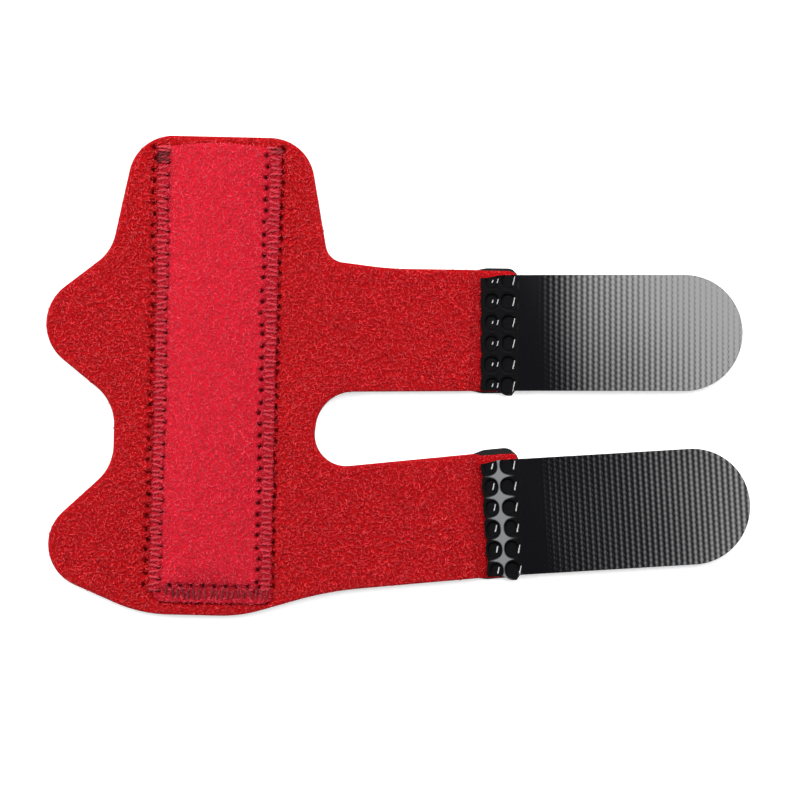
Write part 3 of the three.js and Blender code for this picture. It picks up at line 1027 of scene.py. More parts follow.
@dataclass(frozen=True)
class StayPocket:
    """The felt strip sewn down on three sides over the stay, open towards the crown, in mm."""

    width: float = 21.0
    length: float = 79.2
    margin: float = 2.1
    wall: float = 0.95
    edge: float = 0.55
    seat: float = 3.0
    cavity: float = 15.2
    rise: float = 0.85
    seam_inset: float = 1.8
    middle: float = -0.33
    rounding: float = 1.1
    mouth_bow: float = 1.1
    pucker: float = 0.07
    hole_radius: float = 0.46
    hole_depth: float = 0.6
    seam_dip: float = 0.42
    cut_edge: float = 0.22
    # Strength of the painted shade along the strip's sewn edges and hem.
    painted_seam_shade: float = 0.35
    fine_step: float = 0.24
    coarse_step: float = 0.46
    widths: tuple[tuple[float, float], ...] = (
        (0.0, 1.01),
        (0.04, 1.0),
        (0.085, 0.995),
        (0.3, 0.985),
        (0.55, 0.985),
        (0.8, 0.99),
        (1.0, 1.01),
    )

    def along(self, y: Array) -> Array:
        """The share of the strip's length at a height y."""
        return (y - self.margin) / (self.length - self.mouth_bow)

    def across(self, x: Array) -> Array:
        """Distances from the strip's middle line, which lies a little left of the wrap's."""
        return np.abs(x - self.middle)

    def half_width(self, y: Array) -> Array:
        """Half the strip's width at a height y, from its table of shares."""
        table = np.array(self.widths)
        return self.width / 2 * np.interp(self.along(y), table[:, 0], table[:, 1])

    def dip(self, plan: Array) -> Array:
        """How far the seam pulls the laminate down: exp(-(distance from it / 1.3)^2) of seam_dip."""
        x, y = plan[:, 0], plan[:, 1]
        inside = smooth(1.0, 3.4, y) * (1 - smooth(80.2, 81.8, y))
        side = np.exp(-(((self.across(x) - self.half_width(y) + 0.6) / 1.3) ** 2)) * inside
        hem = np.exp(-(((y - 3.6) / 1.4) ** 2)) * (1 - smooth(8.5, 11.5, np.abs(x)))
        return self.seam_dip * np.maximum(side, hem)

    def lifted(self, plan: Array) -> Array:
        """Share of the cavity's height: 0 along the seams, 1 over the stay and at the mouth."""
        across = self.across(plan[:, 0])
        start = self.cavity / 2 - self.rounding - 4.0
        open_share = 1 - smooth(start, self.width / 2 - self.seam_inset, across)
        return open_share * smooth(0.03, 0.085, self.along(plan[:, 1]))

    def heights(self, plan: Array, seam: Seam) -> tuple[Array, Array]:
        """The under side and the top of the strip.

        Args:
            plan: Places, shape (n, 2).
            seam: The seam that holds the strip down.

        Returns:
            Both heights: the seat less the seam's dip, plus the cavity's lift, plus the felt.
        """
        x, y = plan[:, 0], plan[:, 1]
        low = self.seat - self.dip(plan) * 0.9 + self.rise * self.lifted(plan)
        sewn = smooth(self.width / 2 - 3.4, self.width / 2 - 1.2, self.across(x))
        hem = 1 - smooth(4.4, 6.2, y)
        felt = self.wall + (self.edge - self.wall) * np.maximum(sewn, hem * 0.8)
        waves = np.cos(FULL_TURN * (y - seam.top) / seam.pitch)
        soft = 0.05 * unevenness(x, y, 9.0, 21) + 0.025 * unevenness(x, y, 2.2, 22)
        top = low + felt + self.pucker * waves * sewn * (1 - hem) + soft
        return low, np.maximum(top, low + 0.25)

    def grid(self) -> tuple[Array, Array]:
        """Places of the strip's grid, and how near each is to a cut edge in mm."""
        half = self.width / 2
        fine = np.arange(half, half - 3.6, -self.fine_step)
        middle = np.linspace(-(half - 3.6), half - 3.6, int((self.width - 7.2) / self.coarse_step))
        across = np.concatenate([-fine, middle, fine[::-1]]) / half
        share = np.linspace(0, 1, int(self.length / self.fine_step))
        low_corner = 2.0 * smooth(-0.76, -1.0, across) ** 2 + 0.5 * smooth(0.8, 1.0, across) ** 2
        high = self.margin + self.length - self.mouth_bow * across**2
        low = self.margin + low_corner + 0.1
        y = low + share[:, None] * (high - low)
        x = self.middle + across * self.half_width(y)
        edge = np.minimum(half * (1 - np.abs(across)), np.minimum(y - low, high - y))
        return np.stack([x, y], -1), edge

    def build(self, seam: Seam) -> bpy.types.Object:
        """The strip as one closed sheet with rounded cut edges, puckers and needle holes, with painted shade
        in the holes and along the sewn edges.
        """
        plan, edge = self.grid()
        flat = plan.reshape(-1, 2)
        low, top = self.heights(flat, seam)
        hole = near_holes(flat, seam.inner_holes(self), self.hole_radius)
        top = top - self.hole_depth * hole
        round_off = self.cut_edge * np.exp(-edge.ravel() / self.cut_edge)
        top = np.maximum(top - round_off, low + 0.15)
        shape = plan.shape[:2]
        upper = np.column_stack([flat, top]).reshape(*shape, 3)
        under = np.column_stack([flat, low]).reshape(*shape, 3)
        points, faces = shell(upper, under)
        _, y = flat.T
        # Painted shade: the needle holes and the sewn band along the sides and the hem are darkened, standing
        # for the shade in the seam's dip and holes.
        sewn = smooth(self.width / 2 - 2.6, self.width / 2 - 1.9, self.across(flat[:, 0]))
        sewn = np.maximum(sewn, 1 - smooth(5.0, 5.8, y)) * (y < 80.2)
        painted_shade = np.concatenate([np.maximum(hole, self.painted_seam_shade * sewn), hole * 0])
        piece = new_piece("pocket_felt", points, faces, FELT_GROUND.build(), {"painted_shade": painted_shade})
        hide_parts("stay_pocket")
        return piece


# ---------------------------------------------------------------- laminate


@dataclass(frozen=True)
class Laminate:
    """The wrap's two layers: black foam under brushed loop cloth, cut together and welded at the tabs.

    A rim's rows run from its lower edge to its upper one: inset in mm and share of the thickness there.
    """

    wrap: Wrap
    pocket: StayPocket
    seam: Seam
    rim_step: float = 0.36
    top_step: float = 0.5
    under_step: float = 0.9
    hole_radius: float = 0.52
    hole_depth: float = 0.95
    # Share of a hole's radius that is painted with shade.
    painted_shade_share: float = 0.75
    pulled_middle: float = 0.55
    pulled_foam: float = 0.6
    merge: float = 0.01
    cloth_rim: tuple[tuple[float, float], ...] = (
        (0.3, 0.0),
        (0.06, 0.12),
        (0.0, 0.4),
        (0.03, 0.66),
        (0.14, 0.86),
        (0.34, 0.97),
        (0.62, 1.0),
    )
    foam_rim: tuple[tuple[float, float], ...] = (
        (0.25, 0.0),
        (0.06, 0.1),
        (0.02, 0.3),
        (0.07, 0.55),
        (0.02, 0.85),
        (0.12, 0.98),
        (0.3, 1.0),
    )

    def cloth_heights(self, plan: Array) -> tuple[Array, Array]:
        """The under side and the top of the loop cloth, with seam dips, welds and a little unevenness."""
        press = self.wrap.pressed(plan)
        dip = self.pocket.dip(plan)
        soft = 0.05 * unevenness(plan[:, 0], plan[:, 1], 14.0, 3) * (1 - press)
        low = self.wrap.cloth_low - self.wrap.press * press - self.pulled_middle * dip
        top = self.wrap.cloth_high - self.wrap.cloth_press * press - dip + soft
        return low, top

    def foam_heights(self, plan: Array) -> tuple[Array, Array]:
        """The under side and the top of the foam, drawn in a little by the seams on both faces."""
        press = self.wrap.pressed(plan)
        dip = self.pocket.dip(plan)
        top = self.wrap.foam_high - self.wrap.press * press - self.pulled_foam * dip
        return self.pulled_middle * dip, top

    def lattice(self, ring: Array, step: float, extra: Array | None) -> Array:
        """A triangular lattice over a ring's box, clear of the ring and of the extra points it gets."""
        low, high = ring.min(0), ring.max(0)
        columns = np.arange(low[0], high[0], step)
        rows = np.arange(low[1], high[1], step * math.sqrt(3) / 2)
        x, y = np.meshgrid(columns, rows)
        x = x + (np.arange(len(rows)) % 2)[:, None] * step / 2
        points = np.stack([x, y], -1).reshape(-1, 2)
        points = points[clear_of(points, ring, step * 0.7)]
        if extra is not None:
            points = np.vstack([points[clear_of(points, extra, step * 0.45)], extra])
        return points

    def filled(self, ring: Array, step: float, extra: Array | None = None) -> tuple[Array, Array]:
        """Triangles that fill a ring: a Delaunay net of its points and a lattice inside it."""
        inner = self.lattice(ring, step, extra)
        places = [Vector(place) for place in np.vstack([ring, inner]).tolist()]
        loop = list(range(len(ring)))
        points, _, faces, *_ = delaunay_2d_cdt(places, [], [loop], 1, 1e-6)
        return np.array(points), np.array(faces)

    def body(
        self,
        ring: Array,
        profile: Sequence[tuple[float, float]],
        heights: Callable[[Array], tuple[Array, Array]],
        top_step: float,
        extra: Array | None = None,
    ) -> tuple[Array, Faces]:
        """A closed body over a ring: filled above and below, with a rim carried round it.

        Args:
            ring: The outline.
            profile: The rim from its lower edge to its upper one, as rows of inset in mm and share of
                the thickness there.
            heights: Gives the under side and the top at places.
            top_step: Spacing of the top's net.
            extra: Places that the top's net goes through.

        Returns:
            Its points and its faces.
        """
        normal = outward(ring)
        rims = [ring - normal * inset for inset, _ in profile]
        lifted = []
        for plan, (_, share) in zip(rims, profile):
            low, top = heights(plan)
            lifted.append(np.column_stack([plan, low + share * (top - low)]))
        count = len(ring)
        index = np.arange(len(profile) * count).reshape(-1, count)
        here, there = index[:-1], index[1:]
        wall = np.stack([here, np.roll(here, -1, 1), np.roll(there, -1, 1), there], -1).reshape(-1, 4)
        parts, faces, start = [*lifted], [wall], len(profile) * count
        for plan, step, is_top in ((rims[-1], top_step, True), (rims[0], self.under_step, False)):
            places, triangles = self.filled(plan, step, extra if is_top else None)
            low, top = heights(places)
            parts.append(np.column_stack([places, top if is_top else low]))
            faces.append((triangles if is_top else triangles[:, ::-1]) + start)
            start += len(places)
        return np.concatenate(parts), faces

    def hole_points(self) -> Array:
        """Places in and round each outer needle hole: its middle and rings of 6 and 9 points."""
        holes = self.seam.outer_holes(self.pocket)
        inner = np.arange(6) * FULL_TURN / 6
        outer = np.arange(9) * FULL_TURN / 9
        rings = [np.zeros((1, 2))]
        rings += [r * np.stack([np.cos(a), np.sin(a)], 1) for r, a in ((0.2, inner), (0.42, outer))]
        return (holes[:, None] + np.concatenate(rings)[None]).reshape(-1, 2)

    def build_cloth(self, outline: Array) -> bpy.types.Object:
        """The loop cloth, rolled over at its cut edge, with needle holes beside the strip that are painted
        with shade.
        """
        ring = self.wrap.squeezed(evenly_spaced(outline, self.rim_step), of_foam=False)
        holes = self.seam.outer_holes(self.pocket)

        def pitted(plan: Array) -> tuple[Array, Array]:
            """The cloth's heights with its needle holes."""
            low, top = self.cloth_heights(plan)
            return low, top - self.hole_depth * near_holes(plan, holes, self.hole_radius)

        points, faces = self.body(ring, self.cloth_rim, pitted, self.top_step, self.hole_points())
        # Painted shade in the outer needle holes: near black within a share of the hole's radius, on the top
        # only.
        painted_shade = near_holes(points[:, :2], holes, self.hole_radius * self.painted_shade_share) * (points[:, 2] > 1.6)
        values = {"painted_shade": painted_shade}
        piece = new_piece("loop_cloth", points, faces, LOOP_GROUND.build(), values, weld=self.merge)
        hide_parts("loop_face")
        return piece

    def build_foam(self, outline: Array) -> bpy.types.Object:
        """The foam, slightly hollow along its cut side and squeezed out round the welds."""
        ring = self.wrap.squeezed(evenly_spaced(outline, self.rim_step), of_foam=True)
        points, faces = self.body(ring, self.foam_rim, self.foam_heights, self.under_step)
        piece = new_piece("foam_pad", points, faces, ClosedCellFoam().build(), weld=self.merge)
        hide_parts("foam_backing")
        return piece


# ---------------------------------------------------------------- pile


@dataclass(frozen=True)
class Pile:
    """Short curled strands standing in a cloth's face, each a thin closed tube."""

    name: str
    per_mm2: float
    length: float
    height: float
    radius: float
    curl: float
    lean: float
    steps: int
    pieces: int
    seed: int

    def roots(self, piece: bpy.types.Object, rng: np.random.Generator) -> tuple[Array, Array]:
        """Places spread evenly over the upward faces of a cloth: even steps through their summed areas.

        Args:
            piece: The cloth.
            rng: Source of the random places.

        Returns:
            Places in mm in the wrap's frame, and the face directions there.
        """
        mesh = piece.data
        mesh.calc_loop_triangles()
        corners = np.zeros(len(mesh.loop_triangles) * 3, np.int32)
        mesh.loop_triangles.foreach_get("vertices", corners)
        places = np.zeros(len(mesh.vertices) * 3)
        mesh.vertices.foreach_get("co", places)
        places = places.reshape(-1, 3) / MM
        plan = turned(places[:, :2] - LAY.shift, -LAY.turn)
        places = np.column_stack([plan, places[:, 2]])
        a, b, c = (places[corners.reshape(-1, 3)[:, at]] for at in range(3))
        cross = np.cross(b - a, c - a)
        area = np.linalg.norm(cross, axis=1) / 2
        facing = cross[:, 2] > 0.6 * np.linalg.norm(cross, axis=1)
        area = np.where(facing, area, 0.0)
        count = int(area.sum() * self.per_mm2)
        steps = (np.arange(count) + rng.random(count)) / count
        chosen = np.searchsorted(np.cumsum(area) / area.sum(), steps).clip(0, len(area) - 1)
        u, v = rng.random((2, count, 1))
        u, v = np.where(u + v > 1, 1 - u, u), np.where(u + v > 1, 1 - v, v)
        spots = a[chosen] + u * (b - a)[chosen] + v * (c - a)[chosen]
        return spots, unit(cross[chosen])

    def strands(self, roots: Array, normal: Array, short: Array, rng: np.random.Generator) -> Array:
        """The centre lines of the strands.

        A strand runs through its root along a heading in the cloth, bends sideways by curl * length *
        (1 - t^2) and rises by height * (1 - 1.25 t^2), with t from -1 to 1 along it.

        Args:
            roots: Middle of each strand.
            normal: The cloth's direction there.
            short: How much of its size each strand keeps.
            rng: Source of the random headings and sizes.

        Returns:
            Centre lines, shape (strands, steps, 3).
        """
        count = len(roots)
        drift = unevenness(roots[:, 0], roots[:, 1], 18.0, self.seed) * 0.25
        heading = rng.normal(0.75, self.lean, count) + drift
        along = np.column_stack([np.cos(heading), np.sin(heading), np.zeros(count)])
        along = unit(along - normal * (along * normal).sum(1)[:, None])
        side = np.cross(normal, along)
        size = self.length * rng.uniform(0.55, 1.25, count) * short
        bend = self.curl * rng.normal(0, 1, count) * size
        tall = self.height * rng.uniform(0.35, 1.15, count) * short
        t = np.linspace(-1, 1, self.steps)
        slope = rng.normal(0, 0.25, count)
        rise = tall[:, None] * (1 - 1.25 * t**2) + (slope * tall)[:, None] * t
        return (
            roots[:, None]
            + along[:, None] * (size[:, None] / 2 * t)[..., None]
            + side[:, None] * (bend[:, None] * (1 - t**2))[..., None]
            + normal[:, None] * rise[..., None]
        )

    def grow(
        self,
        cloth: bpy.types.Object,
        material: bpy.types.Material,
        keep: Callable[[Array], Array],
        slot: str,
    ) -> list[bpy.types.Object]:
        """Grows the pile on a cloth.

        Args:
            cloth: The cloth that it stands in.
            material: The strands' finish.
            keep: Gives the size that a strand keeps at each place, 0 where none grows.
            slot: Not used.

        Returns:
            The pieces that hold the strands.
        """
        rng = np.random.default_rng(self.seed)
        roots, normal = self.roots(cloth, rng)
        short = keep(roots[:, :2])
        alive = short > 0.05
        roots, normal, short = roots[alive], normal[alive], short[alive]
        paths = self.strands(roots, normal, short, rng)
        thick = self.radius * rng.uniform(0.75, 1.25, len(paths))
        shade = 0.1 + 0.9 * rng.random(len(paths)) ** 1.5
        rng.shuffle(order := np.arange(len(paths)))
        paths, thick, shade = paths[order], thick[order], shade[order]
        made = []
        for number, part in enumerate(np.array_split(np.arange(len(paths)), self.pieces), 1):
            points, faces = tubes(paths[part], thick[part], 3)
            values = {"shade": np.repeat(shade[part], self.steps * 3)}
            name = f"{self.name}_{number}" if self.pieces > 1 else self.name
            made.append(new_piece(name, points, faces, material, values))
        return made


# ---------------------------------------------------------------- threads


@dataclass(frozen=True)
class Stitching:
    """The seam's thread on both faces of the splint: two plies twisted together, in mm."""

    laminate: Laminate
    ply: float = 0.14
    twist: float = 0.13
    turns: float = 1.6
    parting: float = 0.33
    short_of: tuple[tuple[float, float], ...] = ((0.6, -0.2), (0.2, 0.2), (0.1, 0.45))
    steps: int = 12
    sides: int = 5
    # Painted light level of the left side, the hem and the right side: the arched side threads as painted
    # highlight, the sunken hem threads as painted shade.
    painted_light_levels: tuple[float, ...] = (0.7, 0.0, 0.75)
    seed: int = 31

    def surface(self, plan: Array) -> Array:
        """The height of whatever lies on top: the strip where it is, and the cloth elsewhere."""
        pocket = self.laminate.pocket
        _, cloth = self.laminate.cloth_heights(plan)
        _, strip = pocket.heights(plan, self.laminate.seam)
        x, y = plan[:, 0], plan[:, 1]
        inside = smooth(-0.12, 0.12, pocket.half_width(y) - pocket.across(x)) * smooth(2.1, 2.4, y)
        return cloth + (strip - cloth) * inside

    def over(self, start: Array, end: Array, rng: np.random.Generator) -> Array:
        """Centre lines of threads laid over the surface from hole to hole.

        The height is the surface's, smoothed along the thread, plus a slack arch of 4t(1 - t), and both
        ends sink into their holes.

        Args:
            start: First holes, shape (threads, 2).
            end: Last holes.
            rng: Source of the slack.

        Returns:
            Lines of shape (threads, steps, 3).
        """
        t = np.linspace(0, 1, self.steps)
        plan = start[:, None] + (end - start)[:, None] * t[:, None]
        aside = unit(np.stack([start[:, 1] - end[:, 1], end[:, 0] - start[:, 0]], 1))
        bow = rng.normal(0, 0.07, len(start))[:, None] * (4 * t * (1 - t))
        plan = plan + aside[:, None] * bow[..., None]
        flat = plan.reshape(-1, 2)
        height = self.surface(flat).reshape(len(start), self.steps)
        wide = np.pad(height, ((0, 0), (1, 1)), mode="edge")
        height = np.maximum(height, (wide[:, :-2] + wide[:, 1:-1] + wide[:, 2:]) / 3)
        slack = rng.uniform(0.0, 0.08, len(start))[:, None]
        height = height + self.ply * 0.9 + slack * 4 * t * (1 - t)
        height = height - 1.0 * (np.exp(-t / 0.1) + np.exp(-(1 - t) / 0.1))
        return np.concatenate([plan, height[..., None]], -1)

    def under(self, start: Array, end: Array) -> Array:
        """Centre lines of the bobbin thread in the groove of the foam's under side."""
        t = np.linspace(0, 1, self.steps)
        plan = start[:, None] + (end - start)[:, None] * t[:, None]
        low, _ = self.laminate.foam_heights(plan.reshape(-1, 2))
        height = np.maximum(low.reshape(len(start), self.steps) - 0.02, self.ply * 2)
        height = height + 0.5 * (np.exp(-t / 0.06) + np.exp(-(1 - t) / 0.06))
        return np.concatenate([plan, height[..., None]], -1)

    def plies(self, lines: Array, rng: np.random.Generator) -> Array:
        """Two plies round each line, half a turn apart: line + twist * (cos a, sin a) across it."""
        along = unit(np.gradient(lines, axis=1))
        side = unit(np.cross(along, [0.0, 0.0, 1.0]))
        top = np.cross(side, along)
        angle = rng.uniform(0, FULL_TURN, len(lines))[:, None]
        angle = angle + FULL_TURN * self.turns * np.linspace(0, 1, self.steps)
        angle = np.concatenate([angle, angle + math.pi])
        pairs = [np.concatenate([a, a]) for a in (lines, side, top)]
        spoke = pairs[1] * np.cos(angle)[..., None] + pairs[2] * np.sin(angle)[..., None]
        return pairs[0] + self.twist * spoke

    def zigzag(self, rows: tuple[Array, Array], short_of: tuple[float, float]) -> tuple[Array, Array]:
        """Starts and ends of the stitches between rows of outer and inner holes.

        Two threads that share a hole enter it on its two sides, each parting mm from its middle, and dip
        into the cloth short_of mm before the outer and the inner hole.
        """
        outer, inner = rows
        inward = unit(inner.mean(0) - outer.mean(0))
        outer, inner = outer + inward * short_of[0], inner - inward * short_of[1]
        ahead = self.parting * unit(outer[-1] - outer[0])
        start = np.concatenate([outer, inner[:-1]])
        end = np.concatenate([inner, outer[1:]])
        return start + ahead, end - ahead

    def tacks(self) -> tuple[Array, Array, Array]:
        """Starts, ends and painted light levels of the stitches piled up where the seam starts and ends at
        the mouth.
        """
        rng = np.random.default_rng(self.seed + 1)
        pocket, seam = self.laminate.pocket, self.laminate.seam
        half = float(pocket.half_width(np.array(seam.top)))
        # The last number of each group is its painted light level: the pale bars as painted highlight, the
        # dark clump as painted shade.
        groups = (
            (-half - 0.5, -half + 1.9, seam.top + np.linspace(0.1, -0.4, 3), 0.12, 0.95),
            (-half - 0.8, -half + 1.7, seam.top + np.linspace(-0.7, -2.4, 11), 0.3, -0.25),
            (half - 2.9, half - 1.2, seam.top + np.array([0.45]), 0.1, 0.9),
            (half + 0.1, half - 2.6, seam.top + np.linspace(0.1, -0.5, 3), 0.3, 0.25),
        )
        first, last, shade = [], [], []
        for left, right, level, spread, painted_light_level in groups:
            first.append(np.column_stack([np.full(len(level), left), level]))
            last.append(np.column_stack([np.full(len(level), right), level]))
            last[-1] = last[-1] + rng.normal(0, spread, last[-1].shape)
            shade.append(np.full(len(level), painted_light_level))
        start = np.concatenate(first)
        return start + rng.normal(0, 0.1, start.shape), np.concatenate(last), np.concatenate(shade)

    def piece(self, name: str, paths: Array, shade: Array, sides: int) -> bpy.types.Object:
        """Many stitches as one piece."""
        points, faces = tubes(paths, np.full(len(paths), self.ply), sides, taper=0.8)
        values = {"shade": np.repeat(shade, self.steps * sides)}
        made = new_piece(name, points, faces, PolyesterThread().build(), values)
        return made

    def build(self) -> list[bpy.types.Object]:
        """The top thread and the bobbin thread."""
        rng = np.random.default_rng(self.seed)
        rows = self.laminate.seam.rows(self.laminate.pocket)
        pairs = [self.zigzag(row, short_of) for row, short_of in zip(rows, self.short_of)]
        first, last, painted_light_level = self.tacks()
        start = np.concatenate([*(pair[0] for pair in pairs), first])
        end = np.concatenate([*(pair[1] for pair in pairs), last])
        # Painted light level of each stitch, spread a little at random.
        painted_light_levels = [np.full(len(pair[0]), level) for pair, level in zip(pairs, self.painted_light_levels)]
        shade = np.concatenate([*painted_light_levels, painted_light_level])
        shade = np.clip(shade + rng.normal(0, 0.1, len(shade)), -0.2, 1)
        plies = self.plies(self.over(start, end, rng), rng)
        top = self.piece("seam_thread", plies, np.concatenate([shade, shade * 0.9]), self.sides)
        under = self.piece("bobbin_thread", self.under(start, end), shade, 4)
        return [top, under]


# ---------------------------------------------------------------- hook tabs


@dataclass(frozen=True)
class Lip:
    """A lip on each row of a weld, in mm: its start along x from the last column's middle, its width along
    x, its reach along y and the height of its foot."""

    start: float
    width: float
    reach: float
    foot: float


LIPS: dict[Side, tuple[Lip, ...]] = {
    Side.UPPER: (Lip(-2.81, 0.26, 0.36, -0.4), Lip(-1.99, 0.32, 0.56, -0.3), Lip(0.84, 0.3, 0.92, -0.3)),
    Side.LOWER: (Lip(-2.62, 0.34, 0.68, -0.4), Lip(1.12, 0.34, 0.85, -0.15)),
}


@dataclass(frozen=True)
class HookTab:
    """A strip of hook tape, welded to the end of a band, in mm in its own frame: x along, y across."""

    wrap: Wrap
    side: Side
    width: float = 20.0
    seat: float = 1.6
    thick: float = 0.7
    hook_height: float = 1.0
    rib_pitch: float = 0.975
    rib_height: float = 0.018
    spring_from: float = 3.0
    spring_fade: float = 10.0
    rib_start: float = 2.9
    rib_steps: int = 8
    pit_columns: int = 2
    pit_rows: int = 6
    pit_pitch_x: float = 2.85
    pit_pitch_y: float = 3.62
    pit_margin: float = 1.18
    pit_reach: tuple[float, float] = (1.17, 1.34)
    pit_square: float = 2.3
    pit_depth: float = 0.4
    pit_wall: float = 0.14
    lip_slope: float = 0.56
    border: float = 0.015
    weld_step: float = 0.105
    weld_sunk: float = 0.03
    weld_root: float = 0.2
    weld_thinnest: float = 0.08
    weld_overlap: float = 0.1
    overlap_rise: float = 0.065
    tape_overlap: float = 0.15
    ridge_rise: float = 0.05
    corner_bulge: float = 0.85
    corner_draw: float = 0.5
    column_step: float = 0.8
    hook_row_pitch: float = 1.85
    hook_pitch: float = 1.25
    hook_radius: float = 0.1

    @property
    def tab(self) -> Tab:
        """The tab's own row."""
        return self.wrap.tabs[self.side]

    @property
    def last_column(self) -> float:
        """The middle of the pits' last column along x."""
        return self.pit_margin + (self.pit_columns - 1) * self.pit_pitch_x

    def underside(self, along: Array) -> Array:
        """The tape's under side.

        It is seat - drop * s + 4 * bow * s * (1 - s), with s the share of the free length, plus spring *
        (the first spring_from mm + fade * (q - q^3 + q^4 / 2)), with q the share of the fade after them.
        """
        weld = self.wrap.weld_length
        free = np.maximum(0.0, along - weld)
        share = free / (self.tab.length - weld)
        q = np.clip((free - self.spring_from) / self.spring_fade, 0.0, 1.0)
        risen = np.minimum(free, self.spring_from) + self.spring_fade * (q - q**3 + q**4 / 2)
        full = self.spring_from + self.spring_fade / 2
        drop = self.seat - self.hook_height + self.tab.spring * full
        bowed = 4 * self.tab.bow * share * (1 - share)
        return self.seat - drop * share + bowed + self.tab.spring * risen

    def half_at(self, along: Array) -> Array:
        """Half the tape's width: full, then round at the tip: sqrt(r^2 - (x - centre)^2)."""
        radius = self.width / 2
        past = np.maximum(0.0, along - (self.tab.length - radius))
        return np.sqrt(np.maximum(radius**2 - past**2, 0.0))

    def ribs(self, along: Array) -> Array:
        """Height of the ribs: a cosine wave a pitch long, growing out of the smooth weld end."""
        from_weld = along - self.wrap.weld_length
        wave = 0.5 - 0.5 * np.cos(FULL_TURN * from_weld / self.rib_pitch)
        return self.rib_height * wave * smooth(self.rib_start, self.rib_start + 3.0, from_weld)

    def build_tape(self) -> bpy.types.Object:
        """The free part of the tape, with ribs across its back and a round tip."""
        length, weld = self.tab.length, self.wrap.weld_length
        step = self.rib_pitch / self.rib_steps
        stations = np.arange(weld - self.tape_overlap, length - 0.5, step)
        tip = length - self.width / 2 * (1 - np.cos(np.linspace(0.31, 0.04, 10)))
        stations = np.unique(np.concatenate([stations, tip, [length - 0.002]]))
        inner = 1 - 0.7 / (self.width / 2)
        rim = 1 - np.array([0.0, 0.05, 0.12, 0.22, 0.4]) / (self.width / 2)
        middle = np.linspace(-inner, inner, int(self.width / self.column_step) | 1)
        columns = np.concatenate([-rim, middle, rim[::-1]])
        half = self.half_at(stations)
        y = columns[:, None] * half
        x = np.broadcast_to(stations, y.shape)
        sag = 0.012 * unevenness(x, y, 16.0, 40 + len(self.side.value)) * smooth(weld, weld + 6, x)
        sag = sag + self.tab.cup * y**2 * smooth(weld, weld + 8, x)
        low = self.underside(x)
        top = low + self.thick + self.ribs(x) + sag
        under = low + sag
        points, faces = shell(np.stack([x, y, top], -1), np.stack([x, y, under], -1))
        plan = points[:, :2]
        woven = smooth(self.rib_start + weld, self.rib_start + weld + 3.0, plan[:, 0])
        placed = self.wrap.from_tab(self.side, points)
        name = f"hook_tape_{self.side.value}"
        piece = new_piece(name, placed, faces, WovenNylonTape().build(), {"woven": woven}, plan, crisp=2)
        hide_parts(f"hook_tab_{self.side.value}")
        return piece

    def weld_stations(self) -> Array:
        """Places of the weld's columns along x: even steps, with two columns at each border of a lip."""
        start, end = self.tab.weld_start, self.wrap.weld_length + self.weld_overlap
        even = np.linspace(start, end, int((end - start) / self.weld_step))
        lips = LIPS[self.side]
        sides = [self.last_column + lip.start + side for lip in lips for side in (0.0, lip.width)]
        borders = np.concatenate([np.array(sides) - self.border, np.array(sides) + self.border])
        apart = np.abs(even[:, None] - borders).min(1)
        return np.sort(np.concatenate([even[apart > 2 * self.border], borders]))

    def lips(self, height: Array, u: Array, dy: Array) -> tuple[Array, Array]:
        """Turn places of the weld into lips that the horn's teeth drag up: slopes that face the wrap.

        A lip is a ramp, foot + slope * (u - start), as wide as the table says; along y it fades out
        where exp(-(dy / reach)^4) falls from 0.6 to 0.3. The slope is less where the whole weld slopes.

        Args:
            height: The weld's height without lips.
            u: Each column's place along the tab.
            dy: How far each place is from the middle of its row of pits.

        Returns:
            The height with the lips in mm, and how glassy each place is: 1 on a lip's slope.
        """
        gloss = np.zeros(height.shape)
        for lip in LIPS[self.side]:
            along = u - self.last_column - lip.start
            inside = (along > 0) & (along < lip.width)
            share = smooth(0.3, 0.6, np.exp(-((dy / lip.reach) ** 4))) * inside
            ramp = lip.foot + (self.lip_slope - self.tab.weld_fall) * along
            height = height + share * (ramp - height)
            gloss = np.maximum(gloss, share)
        return height, gloss

    def weld_relief(self, x: Array, y: Array, u: Array, dy: Array) -> tuple[Array, Array, Array]:
        """Height of the weld over its floor.

        Each pit is a rounded square, (|dx|^n + |dy|^n)^(1/n) < 1, with a level floor and a steep wall
        pit_wall wide; what is left between the pits is drawn up into ridges that thin out along x.

        Args:
            x: Places along the tab.
            y: Places across it.
            u: Each column's place before the lips' lean.
            dy: How far each place is from the middle of its row of pits.

        Returns:
            Height in mm, with the plain tape's top at 0, how far each place is on a ridge, and its gloss.
        """
        rows = (np.arange(self.pit_rows) - (self.pit_rows - 1) / 2) * self.pit_pitch_y
        nearest = np.full(x.shape, 9.0)
        power = self.pit_square
        for column in range(self.pit_columns):
            rng = np.random.default_rng(60 + column + 5 * len(self.side.value))
            shift = rng.normal(0, 0.06, (2, self.pit_rows))
            size = rng.normal(1, 0.03, (2, self.pit_rows))
            centre = self.pit_margin + column * self.pit_pitch_x + shift[0]
            dx = np.abs(x[..., None] - centre) / self.pit_reach[0] / size[0]
            far = np.abs(y[..., None] - rows - shift[1]) / self.pit_reach[1] / size[1]
            nearest = np.minimum(nearest, ((dx**power + far**power) ** (1 / power)).min(-1))
        wall = np.clip((nearest - 1 + self.pit_wall) / self.pit_wall, 0, 1)
        out = np.abs(x - self.pit_margin - self.pit_pitch_x / 2)
        low = 1.04 + 0.075 * out**2
        ridge = np.clip((nearest - low) / 0.13, 0, 1) * (1 - smooth(1.9, 2.7, out))
        height = self.pit_depth * (wall - 1) + self.ridge_rise * ridge + 0.008 * unevenness(x, y, 1.2, 70)
        height = height + self.overlap_rise * smooth(5.1, 5.42, x)
        height, gloss = self.lips(height, u, dy)
        return height - self.tab.weld_fall * (self.wrap.weld_length - x), ridge, gloss

